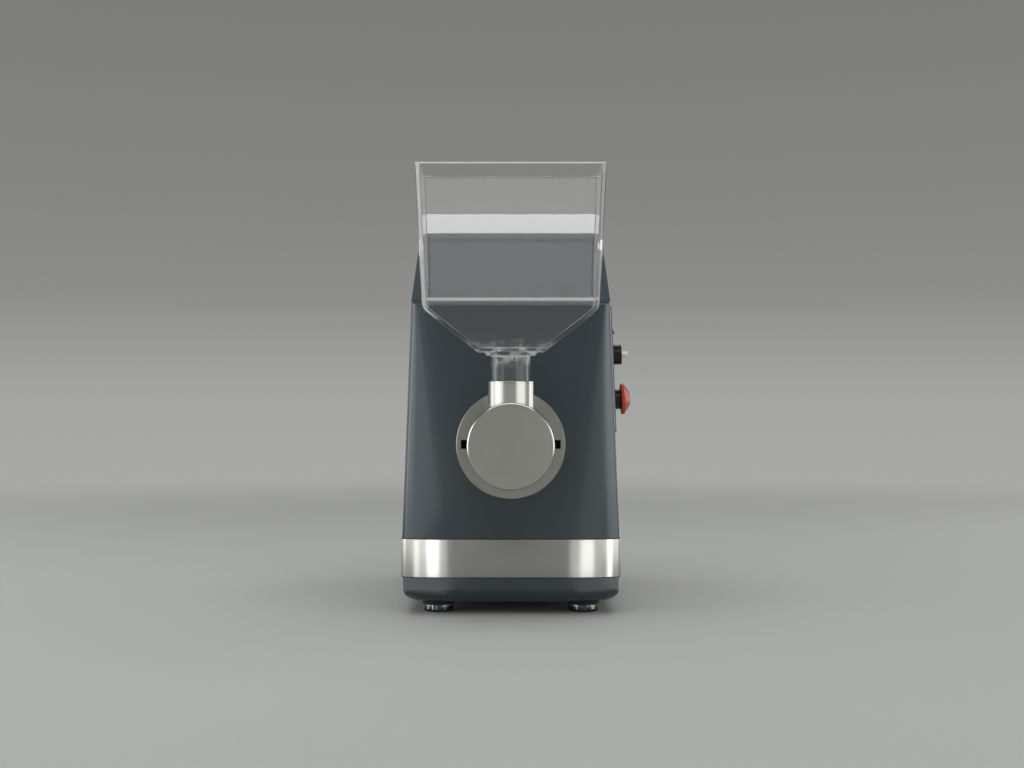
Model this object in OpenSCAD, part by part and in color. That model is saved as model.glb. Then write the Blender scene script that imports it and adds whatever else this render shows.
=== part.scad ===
// Nut butter grinder for a counter: a tapered painted body on four feet, a grinding head on
// its front, and a clear hopper that feeds the head through a tube. A motor inside the body
// turns the feed screw and the burr through a jaw coupling and a shaft in two bearings.
//
// Lengths are millimetres and angles are degrees. X runs to the right of someone who faces
// the machine, Y runs from front to back and Z up from the floor. The drawing values below
// count X from the middle of the body and Y from its front face. at_body() moves them so
// that the part's origin lies on the floor, under the middle of its whole outline.

/* [Body shell] */
// Width of the body at the top edge of the trim band
body_w = 273.8; // [260:0.1:300]
// Depth of the body from its front face to its rear face
body_depth = 380; // [370:1:420]
// Inward lean of each side wall
side_lean = 2.29; // [1.5:0.01:3]
// Height above the floor where the front face meets the slope
shoulder_z = 391; // [382:1:400]
// Angle of the slope above the shoulder
slope_angle = 38; // [34:0.5:42]
// Height above the floor where the slope meets the top
brow_z = 491; // [475:1:500]
// Slope of the second, flatter rise behind it
top_angle = 25.5; // [20:0.5:30]
// Distance from the front face to where the top turns level
crest_y = 200; // [185:1:230]
// Wall thickness of the body shell
shell_wall = 3; // [2:0.5:4]
// Sideways reach of the front corner rounding at the trim band
corner_spread = 55; // [40:1:60]
// Sideways reach of the front corner rounding at the shoulder
corner_spread_top = 8; // [6:1:16]
// Depth of the front corner rounding
corner_depth = 13; // [9:1:18]
// Radius of the rear corners
rear_corner_r = 20; // [12:1:28]
// Radius of the bends at the shoulder, the brow, the crest and the rear edge of the top
bend_r = 9; // [6:1:14]

/* [Base] */
// Height of the tray's underside above the floor
ground_gap = 14.8; // [13:0.1:18]
// Height of the tray that shows below the trim band
tray_show = 33.4; // [30:0.1:38]
// Sideways reach of the rounding along the tray's bottom edge
tray_round_w = 21; // [16:1:28]
// Height of the rounding along the tray's bottom edge
tray_round_h = 19.5; // [15:0.5:26]
// Wall thickness of the tray
tray_wall = 3; // [2:0.5:4]
// Height of the trim band
band_h = 47.3; // [42:0.1:52]
// Thickness of the trim band
band_t = 1.4; // [1:0.1:2]
// Thickness of the chassis plate
chassis_t = 4; // [3:0.5:6]

/* [Feet] */
// Diameter of a steel foot
foot_d = 38; // [34:0.5:40]
// Diameter of the rubber pad above a foot
foot_pad_d = 41; // [38:0.5:44]
// Thickness of the rubber pad above a foot
foot_pad_t = 5.5; // [3:0.5:7]
// Distance of the feet from the body's sides
foot_inset_x = 44; // [42:0.1:50]
// Distance of the feet from the front face and from the rear face
foot_inset_y = 46.5; // [44:0.5:56]
// Diameter of a foot's bolt
foot_bolt_d = 8; // [6:1:10]

/* [Grinding head] */
// Height of the head's axis above the floor
head_z = 215; // [208:1:222]
// Diameter of the mounting flange
flange_d = 136; // [132:1:144]
// Thickness of the mounting flange
flange_t = 12; // [11:0.5:16]
// Diameter of the grinder housing and of its cap
head_d = 106; // [104:0.5:112]
// Thickness of the cap's face
cap_t = 5; // [4:0.5:8]
// Radius of the cap's rounded rim
cap_rim_r = 3; // [1.5:0.5:3.5]
// Bore of the burr chamber
chamber_d = 90; // [84:0.5:92]
// Bore of the feed screw's channel
screw_bore_d = 48; // [44:0.5:52]
// Length of the feed screw's channel
screw_len = 24; // [20:1:26]
// Thickness of the housing's rear wall
housing_wall = 8; // [7:0.5:9]
// Thickness of the fixed burr
fixed_burr_t = 7; // [6:0.5:8]
// Thickness of the turning burr
burr_t = 8.4; // [7:0.1:9]
// Gap between the two burrs
burr_gap = 0.6; // [0.4:0.1:1]
// Width of the outlet under the head
outlet_w = 34; // [26:1:38]
// Length of the outlet under the head, front to back
outlet_len = 17; // [12:1:18]
// Width of a spanner slot in the flange, measured outwards
slot_len = 10; // [8:0.5:11]
// Height of a spanner slot
slot_h = 11; // [8:0.5:13]

/* [Inlet] */
// Outer diameter of the steel inlet tube
inlet_d = 55.6; // [54:0.2:58]
// Height of the inlet tube's top above the floor
inlet_top_z = 293.5; // [290:0.5:300]
// Depth of the hopper tube's seat below the inlet tube's top
inlet_seat = 22; // [16:0.5:24]

/* [Hopper] */
// Distance of the hopper's front panel in front of the body
hopper_front = 82; // [79:1:90]
// Depth of the hopper's lower part
hopper_depth = 70; // [66:1:74]
// Height of the rim above the floor
hopper_rim_z = 555; // [540:1:575]
// Width of the hopper at its rim
hopper_rim_w = 229; // [220:1:236]
// Width of the hopper where its sides fold inwards
hopper_fold_w = 212; // [204:1:218]
// Height above the floor where its sides fold inwards
hopper_fold_z = 380; // [372:1:388]
// Width of the hopper's flat bottom
hopper_bottom_w = 81; // [76:1:100]
// Height of the hopper's underside above the floor
hopper_bottom_z = 329; // [326:1:334]
// Height above the floor where the back panel starts to lean
hopper_back_fold_z = 397; // [390:1:410]
// Lean of the back panel above its fold
hopper_back_lean = 19; // [12:0.5:22]
// Outer radius of the hopper's side folds
hopper_fold_r = 14; // [8:1:18]
// Thickness of the clear sheet
sheet_t = 5; // [4:0.5:6]
// Outer diameter of the hopper's tube
spout_d = 47.5; // [45:0.1:48]
// Wall of the hopper's tube
spout_wall = 3.5; // [2.5:0.5:4.5]
// Diameter of the collar round the tube, under the hopper
collar_d = 67; // [60:1:69]
// Height of the collar round the tube
collar_h = 4.5; // [3:0.5:6]

/* [Controls] */
// Height of the control panel
panel_h = 162; // [156:1:172]
// Width of the control panel, front to back
panel_w = 88; // [60:1:100]
// Thickness of the control panel
panel_t = 3; // [2:0.5:4]
// Height of the control panel's middle above the floor
panel_z = 309; // [305:1:313]
// Distance of the controls behind the front face
controls_y = 76; // [70:1:84]
// Height of the power switch above the floor
switch_z = 363; // [360:1:368]
// Height of the reset button above the floor
reset_z = 328; // [325:1:331]
// Height of the stop button above the floor
estop_z = 270; // [266:1:276]
// Height of the power switch's frame
switch_h = 25; // [22:0.5:28]
// Width of the power switch's frame, front to back
switch_w = 21; // [18:0.5:24]
// Swing of the rocker from one end to the other
rocker_swing = 24; // [16:1:26]
// Diameter of the black housing of the reset button
reset_body_d = 26.2; // [24:0.2:28]
// Distance that the reset button's housing stands out from the panel
reset_body_h = 13; // [10:0.5:15]
// Diameter of the reset button
reset_d = 7.3; // [6:0.1:9]
// Distance that the reset button stands out from its housing
reset_out = 8.2; // [6:0.2:10]
// Travel of the reset button
reset_travel = 3; // [2:0.5:4]
// Diameter of the stop button's collar
estop_collar_d = 26.2; // [24:0.2:27]
// Distance that the collar stands out from the panel
estop_collar_h = 9.4; // [8:0.2:10]
// Diameter of the mushroom head
estop_d = 40; // [38:0.5:44]
// Thickness of the mushroom head
estop_h = 11.8; // [11:0.2:14]
// Diameter of the mushroom head's front face
estop_face_d = 15.6; // [12:0.2:20]
// Travel of the stop button
estop_travel = 4; // [3:0.5:4.5]

/* [Drive] */
// Diameter of the grinder's shaft
shaft_d = 20; // [18:0.5:22]
// Outer diameter of a shaft bearing
bearing_d = 47; // [42:1:50]
// Width of a shaft bearing
bearing_w = 14; // [12:1:15]
// Length of the bearing housing
bearing_housing_len = 50; // [46:1:54]
// Thickness of the bulkhead
bulkhead_t = 8; // [6:0.5:10]
// Diameter of the coupling
coupling_d = 54; // [48:1:60]
// Length of a coupling hub without its jaws
hub_len = 20; // [18:1:22]
// Length of the coupling's jaws
jaw_len = 14; // [12:1:16]
// Diameter over the motor's cooling fins
motor_d = 150; // [140:1:156]
// Length of the motor's finned shell
motor_len = 140; // [120:1:145]
// Diameter of the motor's shaft
motor_shaft_d = 17; // [15:0.5:19]
// Diameter of the rotor
rotor_d = 79; // [70:1:84]
// Length of the cooling fan's cowl
cowl_len = 40; // [38:1:46]

/* [Rear cover] */
// Width of the rear cover
cover_w = 190; // [184:1:200]
// Height of the rear cover
cover_h = 350; // [330:1:360]
// Thickness of the rear cover
cover_t = 2; // [1.5:0.5:3]
// Height of the rear cover's lower edge above the floor
cover_z = 120; // [112:1:126]
// Number of rows of vent slots
vent_rows = 12; // [8:1:13]

/* [Hidden] */

fit = 0.05;      // radial clearance of a bolt, a bearing or a running shaft
slip = 0.3;      // clearance between pieces that slide past each other
seat = 0.05;     // gap under a moving piece that rests on its stop
over = 1;        // a cut runs this far past the face it opens
arc_steps = 8;   // straight steps in a rounded outline corner
circle_fn = 64;

// Heights of the body's parts
band_z0 = ground_gap + tray_show;
band_z1 = band_z0 + band_h;
joint_z = (band_z0 + band_z1) / 2;
tray_floor_z = ground_gap + tray_wall;
foot_x = body_w / 2 - foot_inset_x;
chassis_z = tray_floor_z + chassis_t;
lean = tan(side_lean);
function half_w(z) = body_w / 2 - lean * max(0, z - band_z1);

// Side view of the shell: heights of the slope and of the rise behind it at y, set in by t
function slope_at(y, t) = shoulder_z - t / cos(slope_angle) + y * tan(slope_angle);
brow_y = (brow_z - shoulder_z) / tan(slope_angle);
function top_at(y, t) = brow_z - t / cos(top_angle) + (y - brow_y) * tan(top_angle);
function brow_y_in(t) = (brow_z - brow_y * tan(top_angle) - shoulder_z
    - t / cos(top_angle) + t / cos(slope_angle)) / (tan(slope_angle) - tan(top_angle));
top_z = top_at(crest_y, 0);
function crest_y_in(t) = brow_y + (top_z - t - brow_z + t / cos(top_angle)) / tan(top_angle);

// Head, from the flange's front face forwards
flange_y = -flange_t;
housing_len = inlet_d + 2 * seat + slip;
cap_back_y = flange_y - housing_len;
cap_front_y = cap_back_y - cap_t;
screw_y0 = flange_y - housing_wall;
screw_y1 = screw_y0 - screw_len;
burr_face_y = screw_y1 - fixed_burr_t;
burr_back_y = burr_face_y - burr_gap;
burr_front_y = burr_back_y - burr_t;
cap_spigot = 5;
cap_spigot_wall = 5;
burr_nut_t = 6;
inlet_y = flange_y - seat - slip / 2 - inlet_d / 2;
inlet_ledge_z = inlet_top_z - inlet_seat;
spout_bore_d = spout_d - 2 * spout_wall;
flange_spigot_d = chamber_d - 0.4;
flange_bolt_d = 8;
flange_bolt_r = (head_d / 2 + flange_d / 2) / 2 - 4;
head_screw_d = 6;
head_screw_r = 38;
screw_hub_d = shaft_d + 9;
seal_d = 32;
seal_w = 6;
nut_round = 28;

// Bulkhead, bearings and coupling, from the shell's front wall backwards
bulkhead_y0 = shell_wall;
bulkhead_y1 = bulkhead_y0 + bulkhead_t;
bulkhead_half = body_w / 2 - corner_spread - 2;
bulkhead_z0 = band_z0 + 4;
bulkhead_z1 = 320;
gusset_t = 6;
gusset_reach = 98;
bearing_flange_r = 47;
bearing_flange_t = 8;
bearing_bolt_r = 40;
bearing_bolt_d = 6;
bearing_back_y = bulkhead_y1 + bearing_housing_len;
hub0_y = bearing_back_y + 4;
jaw_y0 = hub0_y + hub_len;
jaw_y1 = jaw_y0 + jaw_len;
hub1_y = jaw_y1 + hub_len;
jaw_half_angle = 24;
jaw_bore_r = 12;

// Motor, behind the coupling
bell_t = 14;
motor_bearing_d = 40;
motor_bearing_w = 11;
fin_h = 5;
shell_out_r = motor_d / 2 - fin_h;
stator_r = shell_out_r - 3;
bell_y0 = hub1_y + 8;
motor_y0 = bell_y0 + bell_t;
motor_y1 = motor_y0 + motor_len;
bell_y1 = motor_y1 + bell_t - 2;
cowl_y1 = bell_y1 + cowl_len;
cowl_wall = 1.5;
cowl_r = motor_d / 2 - 0.5;
winding_len = 12;
stator_y0 = motor_y0 + winding_len + 8;
stator_y1 = motor_y1 - winding_len - 8;
fan_y0 = bell_y1 + 6;
fan_w = 18;
cradle_w = 110;
cradle_t = 20;
cradle_base_t = 6;
chassis_bolt_d = 6;

// Controls, drawn square to the leaning side wall
wall_rise = 90 - side_lean;
estop_base = panel_t + estop_collar_h + 0.7;
estop_barrel_r = 11;
estop_stem_r = 6;
estop_in = 30;
reset_barrel_r = 8;
reset_in = 14;
pivot_in = 1;
rocker_len = switch_h - 6;
rocker_wide = switch_w - 4.4;

// Electric pieces beside the motor
box_w = 76;
box_len = 70;
box_h = 42;
contactor_w = 33;
contactor_len = 60;
contactor_h = 46;
contactor_step = 14;
capacitor_r = 17;
capacitor_h = 74;
reset_block = [18, 30, 28];

// Rear cover, its screws and the power inlet
rear_y = body_depth + cover_t;
cover_screw_d = 4;
cover_screw_head = 2.2;
cover_lip = 7;
socket_w = 27;
socket_h = 20;
socket_x = cover_w / 2 - cover_lip - socket_w / 2 - 1.5;
socket_z = cover_z + 28;
socket_in = 22;

// Outline of the whole part, and the shift that puts the origin under its middle
reach_right = half_w(estop_z) + (estop_base + estop_h) * cos(side_lean)
    + estop_face_d / 2 * sin(side_lean);
reach_left = -body_w / 2 - band_t;
reach_back = rear_y + cover_screw_head;
shift = [-(reach_right + reach_left) / 2, -(reach_back - hopper_front) / 2, 0];

module at_body() { translate(shift) children(); }

// ---- shapes that several pieces share ----

function arc(cx, cy, a, b, from, to) =
    [for (i = [0:arc_steps]) let (t = from + (to - from) * i / arc_steps)
        [cx + a * cos(t), cy + b * sin(t)]];

// Plan outline: elliptical front corners a wide and b deep, round rear corners of radius r
function outline(hw, y0, y1, a, b, r) = concat(
    arc(hw - r, y1 - r, r, r, 0, 90),
    arc(-hw + r, y1 - r, r, r, 90, 180),
    arc(-hw + a, y0 + b, a, b, 180, 270),
    arc(hw - a, y0 + b, a, b, 270, 360));

// Plan outline of the body at height z, set in by t
function body_ring(z, t) =
    let (up = min(1, max(0, (z - band_z1) / (shoulder_z - band_z1))),
        a = corner_spread + (corner_spread_top - corner_spread) * up,
        b = corner_depth + (corner_spread_top - corner_depth) * up)
    outline(half_w(z) - t, t, body_depth - t, a - t, b - t, rear_corner_r - t);

// Solid through rings of equal point counts, given as [height, points]
module loft(levels) {
    n = len(levels[0][1]);
    top = (len(levels) - 1) * n;
    polyhedron(
        points = [for (l = levels) for (p = l[1]) [p[0], p[1], l[0]]],
        faces = concat(
            [[for (i = [0:n - 1]) i]],
            [[for (i = [n - 1:-1:0]) top + i]],
            [for (k = [0:len(levels) - 2]) for (i = [0:n - 1])
                let (p = k * n + i, q = k * n + (i + 1) % n) each [[p, p + n, q + n], [p, q + n, q]]]));
}

// Polygon whose corners are rounded to the given radii
function unit(v) = v / norm(v);
function corner_arc(p, q, s, r) =
    r == 0 ? [q] :
    let (u = unit(p - q), w = unit(s - q), half = acos(u * w) / 2,
        c = q + unit(u + w) * r / sin(half), a0 = q + u * r / tan(half) - c,
        turn = 180 - 2 * half, dir = u[0] * w[1] - u[1] * w[0] > 0 ? -1 : 1)
    [for (i = [0:arc_steps]) let (t = dir * turn * i / arc_steps)
        c + [a0[0] * cos(t) - a0[1] * sin(t), a0[0] * sin(t) + a0[1] * cos(t)]];
function rounded(pts, radii) = let (n = len(pts))
    [for (i = [0:n - 1]) each corner_arc(pts[(i + n - 1) % n], pts[i], pts[(i + 1) % n], radii[i])];

// Side-view polygon (y, z) drawn across the whole width, and front-view polygon (x, z) drawn
// from y0 to y1
module across(pts, half) {
    translate([-half, 0, 0]) rotate([90, 0, 90]) linear_extrude(2 * half) polygon(pts);
}
module front_view(pts, y0, y1) {
    translate([0, y1, 0]) rotate([90, 0, 0]) linear_extrude(y1 - y0) polygon(pts);
}

// Turned pieces and rods on the head's axis; points are (radius, y)
module turned(pts) {
    translate([0, 0, head_z]) rotate([-90, 0, 0]) rotate_extrude($fn = circle_fn) polygon(pts);
}
module rod(y0, y1, r) {
    translate([0, min(y0, y1), head_z]) rotate([-90, 0, 0])
        cylinder(h = abs(y1 - y0), r = r, $fn = circle_fn);
}
module ring(y0, y1, ro, ri) {
    difference() {
        rod(y0, y1, ro);
        rod(min(y0, y1) - over, max(y0, y1) + over, ri);
    }
}

// Places children on a circle round the head's axis, at depth y and facing +Y
module on_circle(count, r, phase, y) {
    for (i = [0:count - 1])
        let (t = phase + i * 360 / count)
        translate([r * cos(t), y, head_z + r * sin(t)]) rotate([-90, 0, 0]) children();
}

// Bolt with a socket head: the shank hangs down from z = 0, the head stands above
module bolt(d, length) {
    difference() {
        union() {
            translate([0, 0, -length]) cylinder(h = length, r = d / 2, $fn = 32);
            cylinder(h = 0.8 * d, r = 0.8 * d, $fn = 32);
        }
        translate([0, 0, 0.4 * d]) cylinder(h = d, r = 0.45 * d, $fn = 6);
    }
}
module bolt_hole(d, length) {
    translate([0, 0, -length]) cylinder(h = length + over, r = d / 2 + fit, $fn = 32);
}

// Plate with round corners, centred, from z = 0 to t
module plate(w, h, t, r) {
    linear_extrude(t) {
        square([w - 2 * r, h], center = true);
        square([w, h - 2 * r], center = true);
        for (sx = [-1, 1], sy = [-1, 1])
            translate([sx * (w / 2 - r), sy * (h / 2 - r)]) circle(r = r, $fn = 32);
    }
}

// Right-hand side wall: +Z out of the wall, +X down it, +Y to the back
module on_side(y, z) {
    translate([half_w(z), y, z]) rotate([0, wall_rise, 0]) children();
}

// ---- body ----

module shell_solid(t, low) {
    intersection() {
        loft([for (z = [low, band_z1, shoulder_z, top_z + 20]) [z, body_ring(z, t)]]);
        across(rounded(
            [[t, low - over], [t, slope_at(t, t)], [brow_y_in(t), top_at(brow_y_in(t), t)],
                [crest_y_in(t), top_z - t], [body_depth - t, top_z - t], [body_depth - t, low - over]],
            [0, bend_r, bend_r, bend_r, bend_r, 0]), body_w);
    }
}

module control_cuts() {
    on_side(controls_y, switch_z) translate([0, 0, -shell_wall - over])
        linear_extrude(shell_wall + panel_t + 2 * over)
            square([switch_h - 2 + 2 * fit, switch_w - 2 + 2 * fit], center = true);
    on_side(controls_y, reset_z) translate([0, 0, -shell_wall - over])
        cylinder(h = shell_wall + panel_t + 2 * over, r = reset_barrel_r + fit, $fn = circle_fn);
    on_side(controls_y, estop_z) translate([0, 0, -shell_wall - over])
        cylinder(h = shell_wall + panel_t + 2 * over, r = estop_barrel_r + fit, $fn = circle_fn);
}

module body_shell() {
    color("#3f4a4e") at_body() difference() {
        shell_solid(0, joint_z);
        shell_solid(shell_wall, joint_z - over);
        rod(-over, shell_wall + over, chamber_d / 2);
        on_circle(4, flange_bolt_r, 45, shell_wall) bolt_hole(flange_bolt_d + 0.5, shell_wall + over);
        control_cuts();
        translate([-cover_w / 2 + cover_lip, body_depth - shell_wall - over, cover_z + cover_lip])
            cube([cover_w - 2 * cover_lip, shell_wall + 2 * over, cover_h - 2 * cover_lip]);
    }
}

// Outline of the body's lower edge, grown outwards by t
function foot_ring(t) = outline(body_w / 2 + t, -t, body_depth + t,
    corner_spread + t, corner_depth + t, rear_corner_r + t);

// Rings of the tray: a quarter ellipse along the bottom edge, then upright walls
function tray_levels(t, top) = concat(
    [for (i = [0:arc_steps]) let (g = 90 * i / arc_steps,
            x = (tray_round_w - t) * (1 - sin(g)), z = (tray_round_h - t) * (1 - cos(g)))
        [ground_gap + t + z, outline(body_w / 2 - t - x, t + x, body_depth - t - x,
            corner_spread - t, corner_depth - t + x * 0.5, rear_corner_r - t + x * 0.3)]],
    [[top, outline(body_w / 2 - t, t, body_depth - t, corner_spread - t, corner_depth - t,
        rear_corner_r - t)]]);

module at_feet() {
    for (x = [-foot_x, foot_x], y = [foot_inset_y, body_depth - foot_inset_y])
        translate([x, y, 0]) children();
}

module base_tray() {
    color("#3f4a4e") at_body() difference() {
        loft(tray_levels(0, joint_z));
        loft(tray_levels(tray_wall, joint_z + over));
        at_feet() translate([0, 0, tray_floor_z]) bolt_hole(foot_bolt_d, tray_wall + over);
    }
}

module trim_band() {
    color("#b9bab4") at_body() translate([0, 0, band_z0]) difference() {
        linear_extrude(band_h) polygon(foot_ring(band_t));
        translate([0, 0, -over]) linear_extrude(band_h + 2 * over) polygon(foot_ring(0));
    }
}

// ---- feet ----

foot_tip = 1.5;
foot_top = ground_gap - foot_pad_t;
foot_nut_h = 0.8 * foot_bolt_d;

module feet() {
    color("#a9aaa6") at_body() at_feet() difference() {
        union() {
            translate([0, 0, foot_tip]) cylinder(h = foot_top - foot_tip, r = foot_d / 2, $fn = circle_fn);
            cylinder(h = foot_tip, r1 = foot_d / 2 - foot_tip, r2 = foot_d / 2, $fn = circle_fn);
        }
        translate([0, 0, foot_top]) bolt_hole(foot_bolt_d, foot_top - 4);
    }
}

module foot_pads() {
    color("#161616") at_body() at_feet() translate([0, 0, foot_top]) difference() {
        cylinder(h = foot_pad_t, r = foot_pad_d / 2, $fn = circle_fn);
        translate([0, 0, foot_pad_t]) bolt_hole(foot_bolt_d, foot_pad_t + over);
    }
}

module foot_bolts() {
    color("#8f908c") at_body() at_feet() {
        translate([0, 0, 4 + fit]) cylinder(h = chassis_z + foot_nut_h - 2, r = foot_bolt_d / 2, $fn = 32);
        translate([0, 0, chassis_z]) cylinder(h = foot_nut_h, r = 0.9 * foot_bolt_d, $fn = 6);
    }
}

// ---- chassis and bulkhead ----

chassis_y0 = tray_round_w + 1;
chassis_half = foot_x + 7;
chassis_cut = [32, 12];    // width and depth of the corners cut off the chassis plate
gusset_x = bulkhead_half - gusset_t;
gusset_y1 = bulkhead_y1 + gusset_reach;
pad_w = 18;

module chassis_bolt_spots() {
    for (side = [-1, 1], y = [chassis_y0 + 22, gusset_y1 - 14])
        translate([side * (gusset_x - pad_w / 2), y, chassis_z + cradle_base_t]) children();
    for (side = [-1, 1], y = [motor_y0 + 12, motor_y1 - 12])
        translate([side * (cradle_w / 2 - 8), y, chassis_z + cradle_base_t]) children();
}

module chassis_plate() {
    color("#7d8082") at_body() difference() {
        translate([0, body_depth / 2, tray_floor_z]) linear_extrude(chassis_t)
            polygon([for (s = [[1, 1], [-1, 1], [-1, -1], [1, -1]], k = [s[0] * s[1], -s[0] * s[1]])
                [s[0] * (chassis_half - (k < 0 ? chassis_cut[0] : 0)),
                    s[1] * (body_depth / 2 - chassis_y0 - (k > 0 ? chassis_cut[1] : 0))]]);
        at_feet() translate([0, 0, chassis_z]) bolt_hole(foot_bolt_d, chassis_t + over);
        chassis_bolt_spots() bolt_hole(chassis_bolt_d, cradle_base_t + chassis_t + over);
    }
}

module chassis_bolts() {
    color("#8f908c") at_body() chassis_bolt_spots()
        bolt(chassis_bolt_d, cradle_base_t + chassis_t - fit);
}

// Upright plate behind the shell's front wall, with a gusset and a foot pad on each side
module bulkhead() {
    color("#6d7173") at_body() difference() {
        union() {
            translate([-bulkhead_half, bulkhead_y0, bulkhead_z0])
                cube([2 * bulkhead_half, bulkhead_t, bulkhead_z1 - bulkhead_z0]);
            for (side = [-1, 1]) {
                translate([side * (gusset_x + gusset_t / 2), 0, 0])
                    across([[bulkhead_y1, bulkhead_z0], [chassis_y0 + 8, chassis_z],
                        [gusset_y1, chassis_z], [gusset_y1, chassis_z + 20],
                        [bulkhead_y1, bulkhead_z1 - 20]], gusset_t / 2);
                translate([side * (gusset_x - pad_w / 2) - pad_w / 2, chassis_y0 + 8, chassis_z])
                    cube([pad_w, gusset_y1 - chassis_y0 - 8, cradle_base_t]);
            }
        }
        rod(bulkhead_y0 - over, bulkhead_y1 + over, seal_d / 2);
        on_circle(4, flange_bolt_r, 45, bulkhead_y1) bolt_hole(flange_bolt_d, bulkhead_t + over);
        on_circle(4, bearing_bolt_r, 0, bulkhead_y1) bolt_hole(bearing_bolt_d, bulkhead_t - 1);
        chassis_bolt_spots() bolt_hole(chassis_bolt_d, cradle_base_t + over);
    }
}

module bearing_housing() {
    bore = bearing_d / 2 + fit;
    land = bore - 4;
    body_r = bearing_d / 2 + 8;
    color("#70757a") at_body() difference() {
        turned([[bore, bulkhead_y1], [bearing_flange_r, bulkhead_y1],
            [bearing_flange_r, bulkhead_y1 + bearing_flange_t], [body_r, bulkhead_y1 + bearing_flange_t],
            [body_r, bearing_back_y], [bore, bearing_back_y],
            [bore, bearing_back_y - bearing_w], [land, bearing_back_y - bearing_w],
            [land, bulkhead_y1 + bearing_w], [bore, bulkhead_y1 + bearing_w]]);
        on_circle(4, bearing_bolt_r, 0, bulkhead_y1 + bearing_flange_t)
            bolt_hole(bearing_bolt_d, bearing_flange_t + over);
    }
}

module bearing_bolts() {
    color("#8f908c") at_body() on_circle(4, bearing_bolt_r, 0, bulkhead_y1 + bearing_flange_t)
        bolt(bearing_bolt_d, bearing_flange_t + bulkhead_t - 3);
}

// Ball bearing from y0 to y0 + w: races with a groove between them on both faces
module ball_bearing(y0, w, od, bore_d) {
    groove = 1;
    mid = (od + bore_d) / 4;
    difference() {
        ring(y0, y0 + w, od / 2, bore_d / 2 + fit);
        ring(y0 - over, y0 + groove, mid + 3, mid - 3);
        ring(y0 + w - groove, y0 + w + over, mid + 3, mid - 3);
    }
}

module front_bearing() {
    color("#9a9c9e") at_body() ball_bearing(bulkhead_y1, bearing_w, bearing_d, shaft_d);
}
module rear_bearing() {
    color("#9a9c9e") at_body() ball_bearing(bearing_back_y - bearing_w, bearing_w, bearing_d, shaft_d);
}

// ---- shaft, coupling and motor ----

shaft_y0 = burr_front_y - burr_nut_t;
shaft_y1 = jaw_y0 - 1;

module main_shaft() {
    shoulder_y0 = bulkhead_y1 + bearing_w + 0.5;
    shoulder_y1 = bearing_back_y - bearing_w - 0.5;
    color("#8b8e91") at_body() union() {
        rod(shaft_y0, shaft_y1, shaft_d / 2);
        rod(shoulder_y0, shoulder_y1, shaft_d / 2 + 3);
    }
}

// Three coupling jaws between y0 and y1, turned by phase and grown by grow degrees
module jaws(y0, y1, phase, grow) {
    far = coupling_d;
    half = jaw_half_angle + grow;
    intersection() {
        ring(y0, y1, coupling_d / 2, jaw_bore_r - grow * 0.3);
        for (i = [0:2])
            front_view([[0, head_z],
                [far * cos(phase + i * 120 - half), head_z + far * sin(phase + i * 120 - half)],
                [far * cos(phase + i * 120 + half), head_z + far * sin(phase + i * 120 + half)]],
                y0 - over, y1 + over);
    }
}

module front_coupling() {
    color("#9c9fa1") at_body() {
        ring(hub0_y, jaw_y0, coupling_d / 2, shaft_d / 2 + fit);
        jaws(jaw_y0, jaw_y1 - 1, 90, 0);
    }
}

module rear_coupling() {
    color("#9c9fa1") at_body() {
        ring(jaw_y1, hub1_y, coupling_d / 2, motor_shaft_d / 2 + fit);
        jaws(jaw_y0 + 1, jaw_y1, 30, 0);
    }
}

module coupling_spider() {
    color("#c4502e") at_body() difference() {
        ring(jaw_y0 + seat, jaw_y1 - seat, coupling_d / 2 - 1, 9);
        jaws(jaw_y0 - over, jaw_y1 + over, 90, 0.3);
        jaws(jaw_y0 - over, jaw_y1 + over, 30, 0.3);
    }
}

module motor_shell() {
    fins = 28;
    color("#4c5a66") at_body() {
        ring(motor_y0, motor_y1, shell_out_r, stator_r + fit);
        for (i = [0:fins - 1])
            translate([0, motor_y0, head_z]) rotate([0, i * 360 / fins, 0])
                translate([shell_out_r - 0.5, 0, -1.25]) cube([fin_h + 0.5, motor_len, 2.5]);
    }
}

module motor_stator() {
    color("#5f6468") at_body() ring(stator_y0, stator_y1, stator_r, rotor_d / 2 + 0.5);
}

module motor_windings() {
    ro = stator_r - 6;
    ri = rotor_d / 2 + 5;
    color("#a5562d") at_body() {
        ring(stator_y0 - winding_len, stator_y0, ro, ri);
        ring(stator_y1, stator_y1 + winding_len, ro, ri);
    }
}

// End bells: the bearing seat opens towards the rotor
module motor_front_bell() {
    lip = bell_t - motor_bearing_w;
    color("#56626c") at_body() difference() {
        rod(bell_y0, motor_y0, shell_out_r);
        rod(bell_y0 + lip, motor_y0 + over, motor_bearing_d / 2 + fit);
        rod(bell_y0 - over, motor_y0, motor_shaft_d / 2 + 1);
    }
}
module motor_rear_bell() {
    lip = bell_y1 - motor_y1 - motor_bearing_w;
    color("#56626c") at_body() difference() {
        union() {
            rod(motor_y1, bell_y1, shell_out_r);
            ring(bell_y1 - 6, bell_y1, cowl_r - cowl_wall - fit, shell_out_r - over);
        }
        rod(motor_y1 - over, bell_y1 - lip, motor_bearing_d / 2 + fit);
        rod(motor_y1, bell_y1 + over, motor_shaft_d / 2 + 1);
    }
}

module motor_bearings() {
    color("#9a9c9e") at_body() {
        ball_bearing(motor_y0 - motor_bearing_w, motor_bearing_w, motor_bearing_d, motor_shaft_d);
        ball_bearing(motor_y1, motor_bearing_w, motor_bearing_d, motor_shaft_d);
    }
}

module motor_rotor() {
    color("#7f8386") at_body() {
        rod(jaw_y1 + 1, fan_y0 + fan_w, motor_shaft_d / 2);
        rod(stator_y0 - 4, stator_y1 + 4, rotor_d / 2);
    }
}

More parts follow.
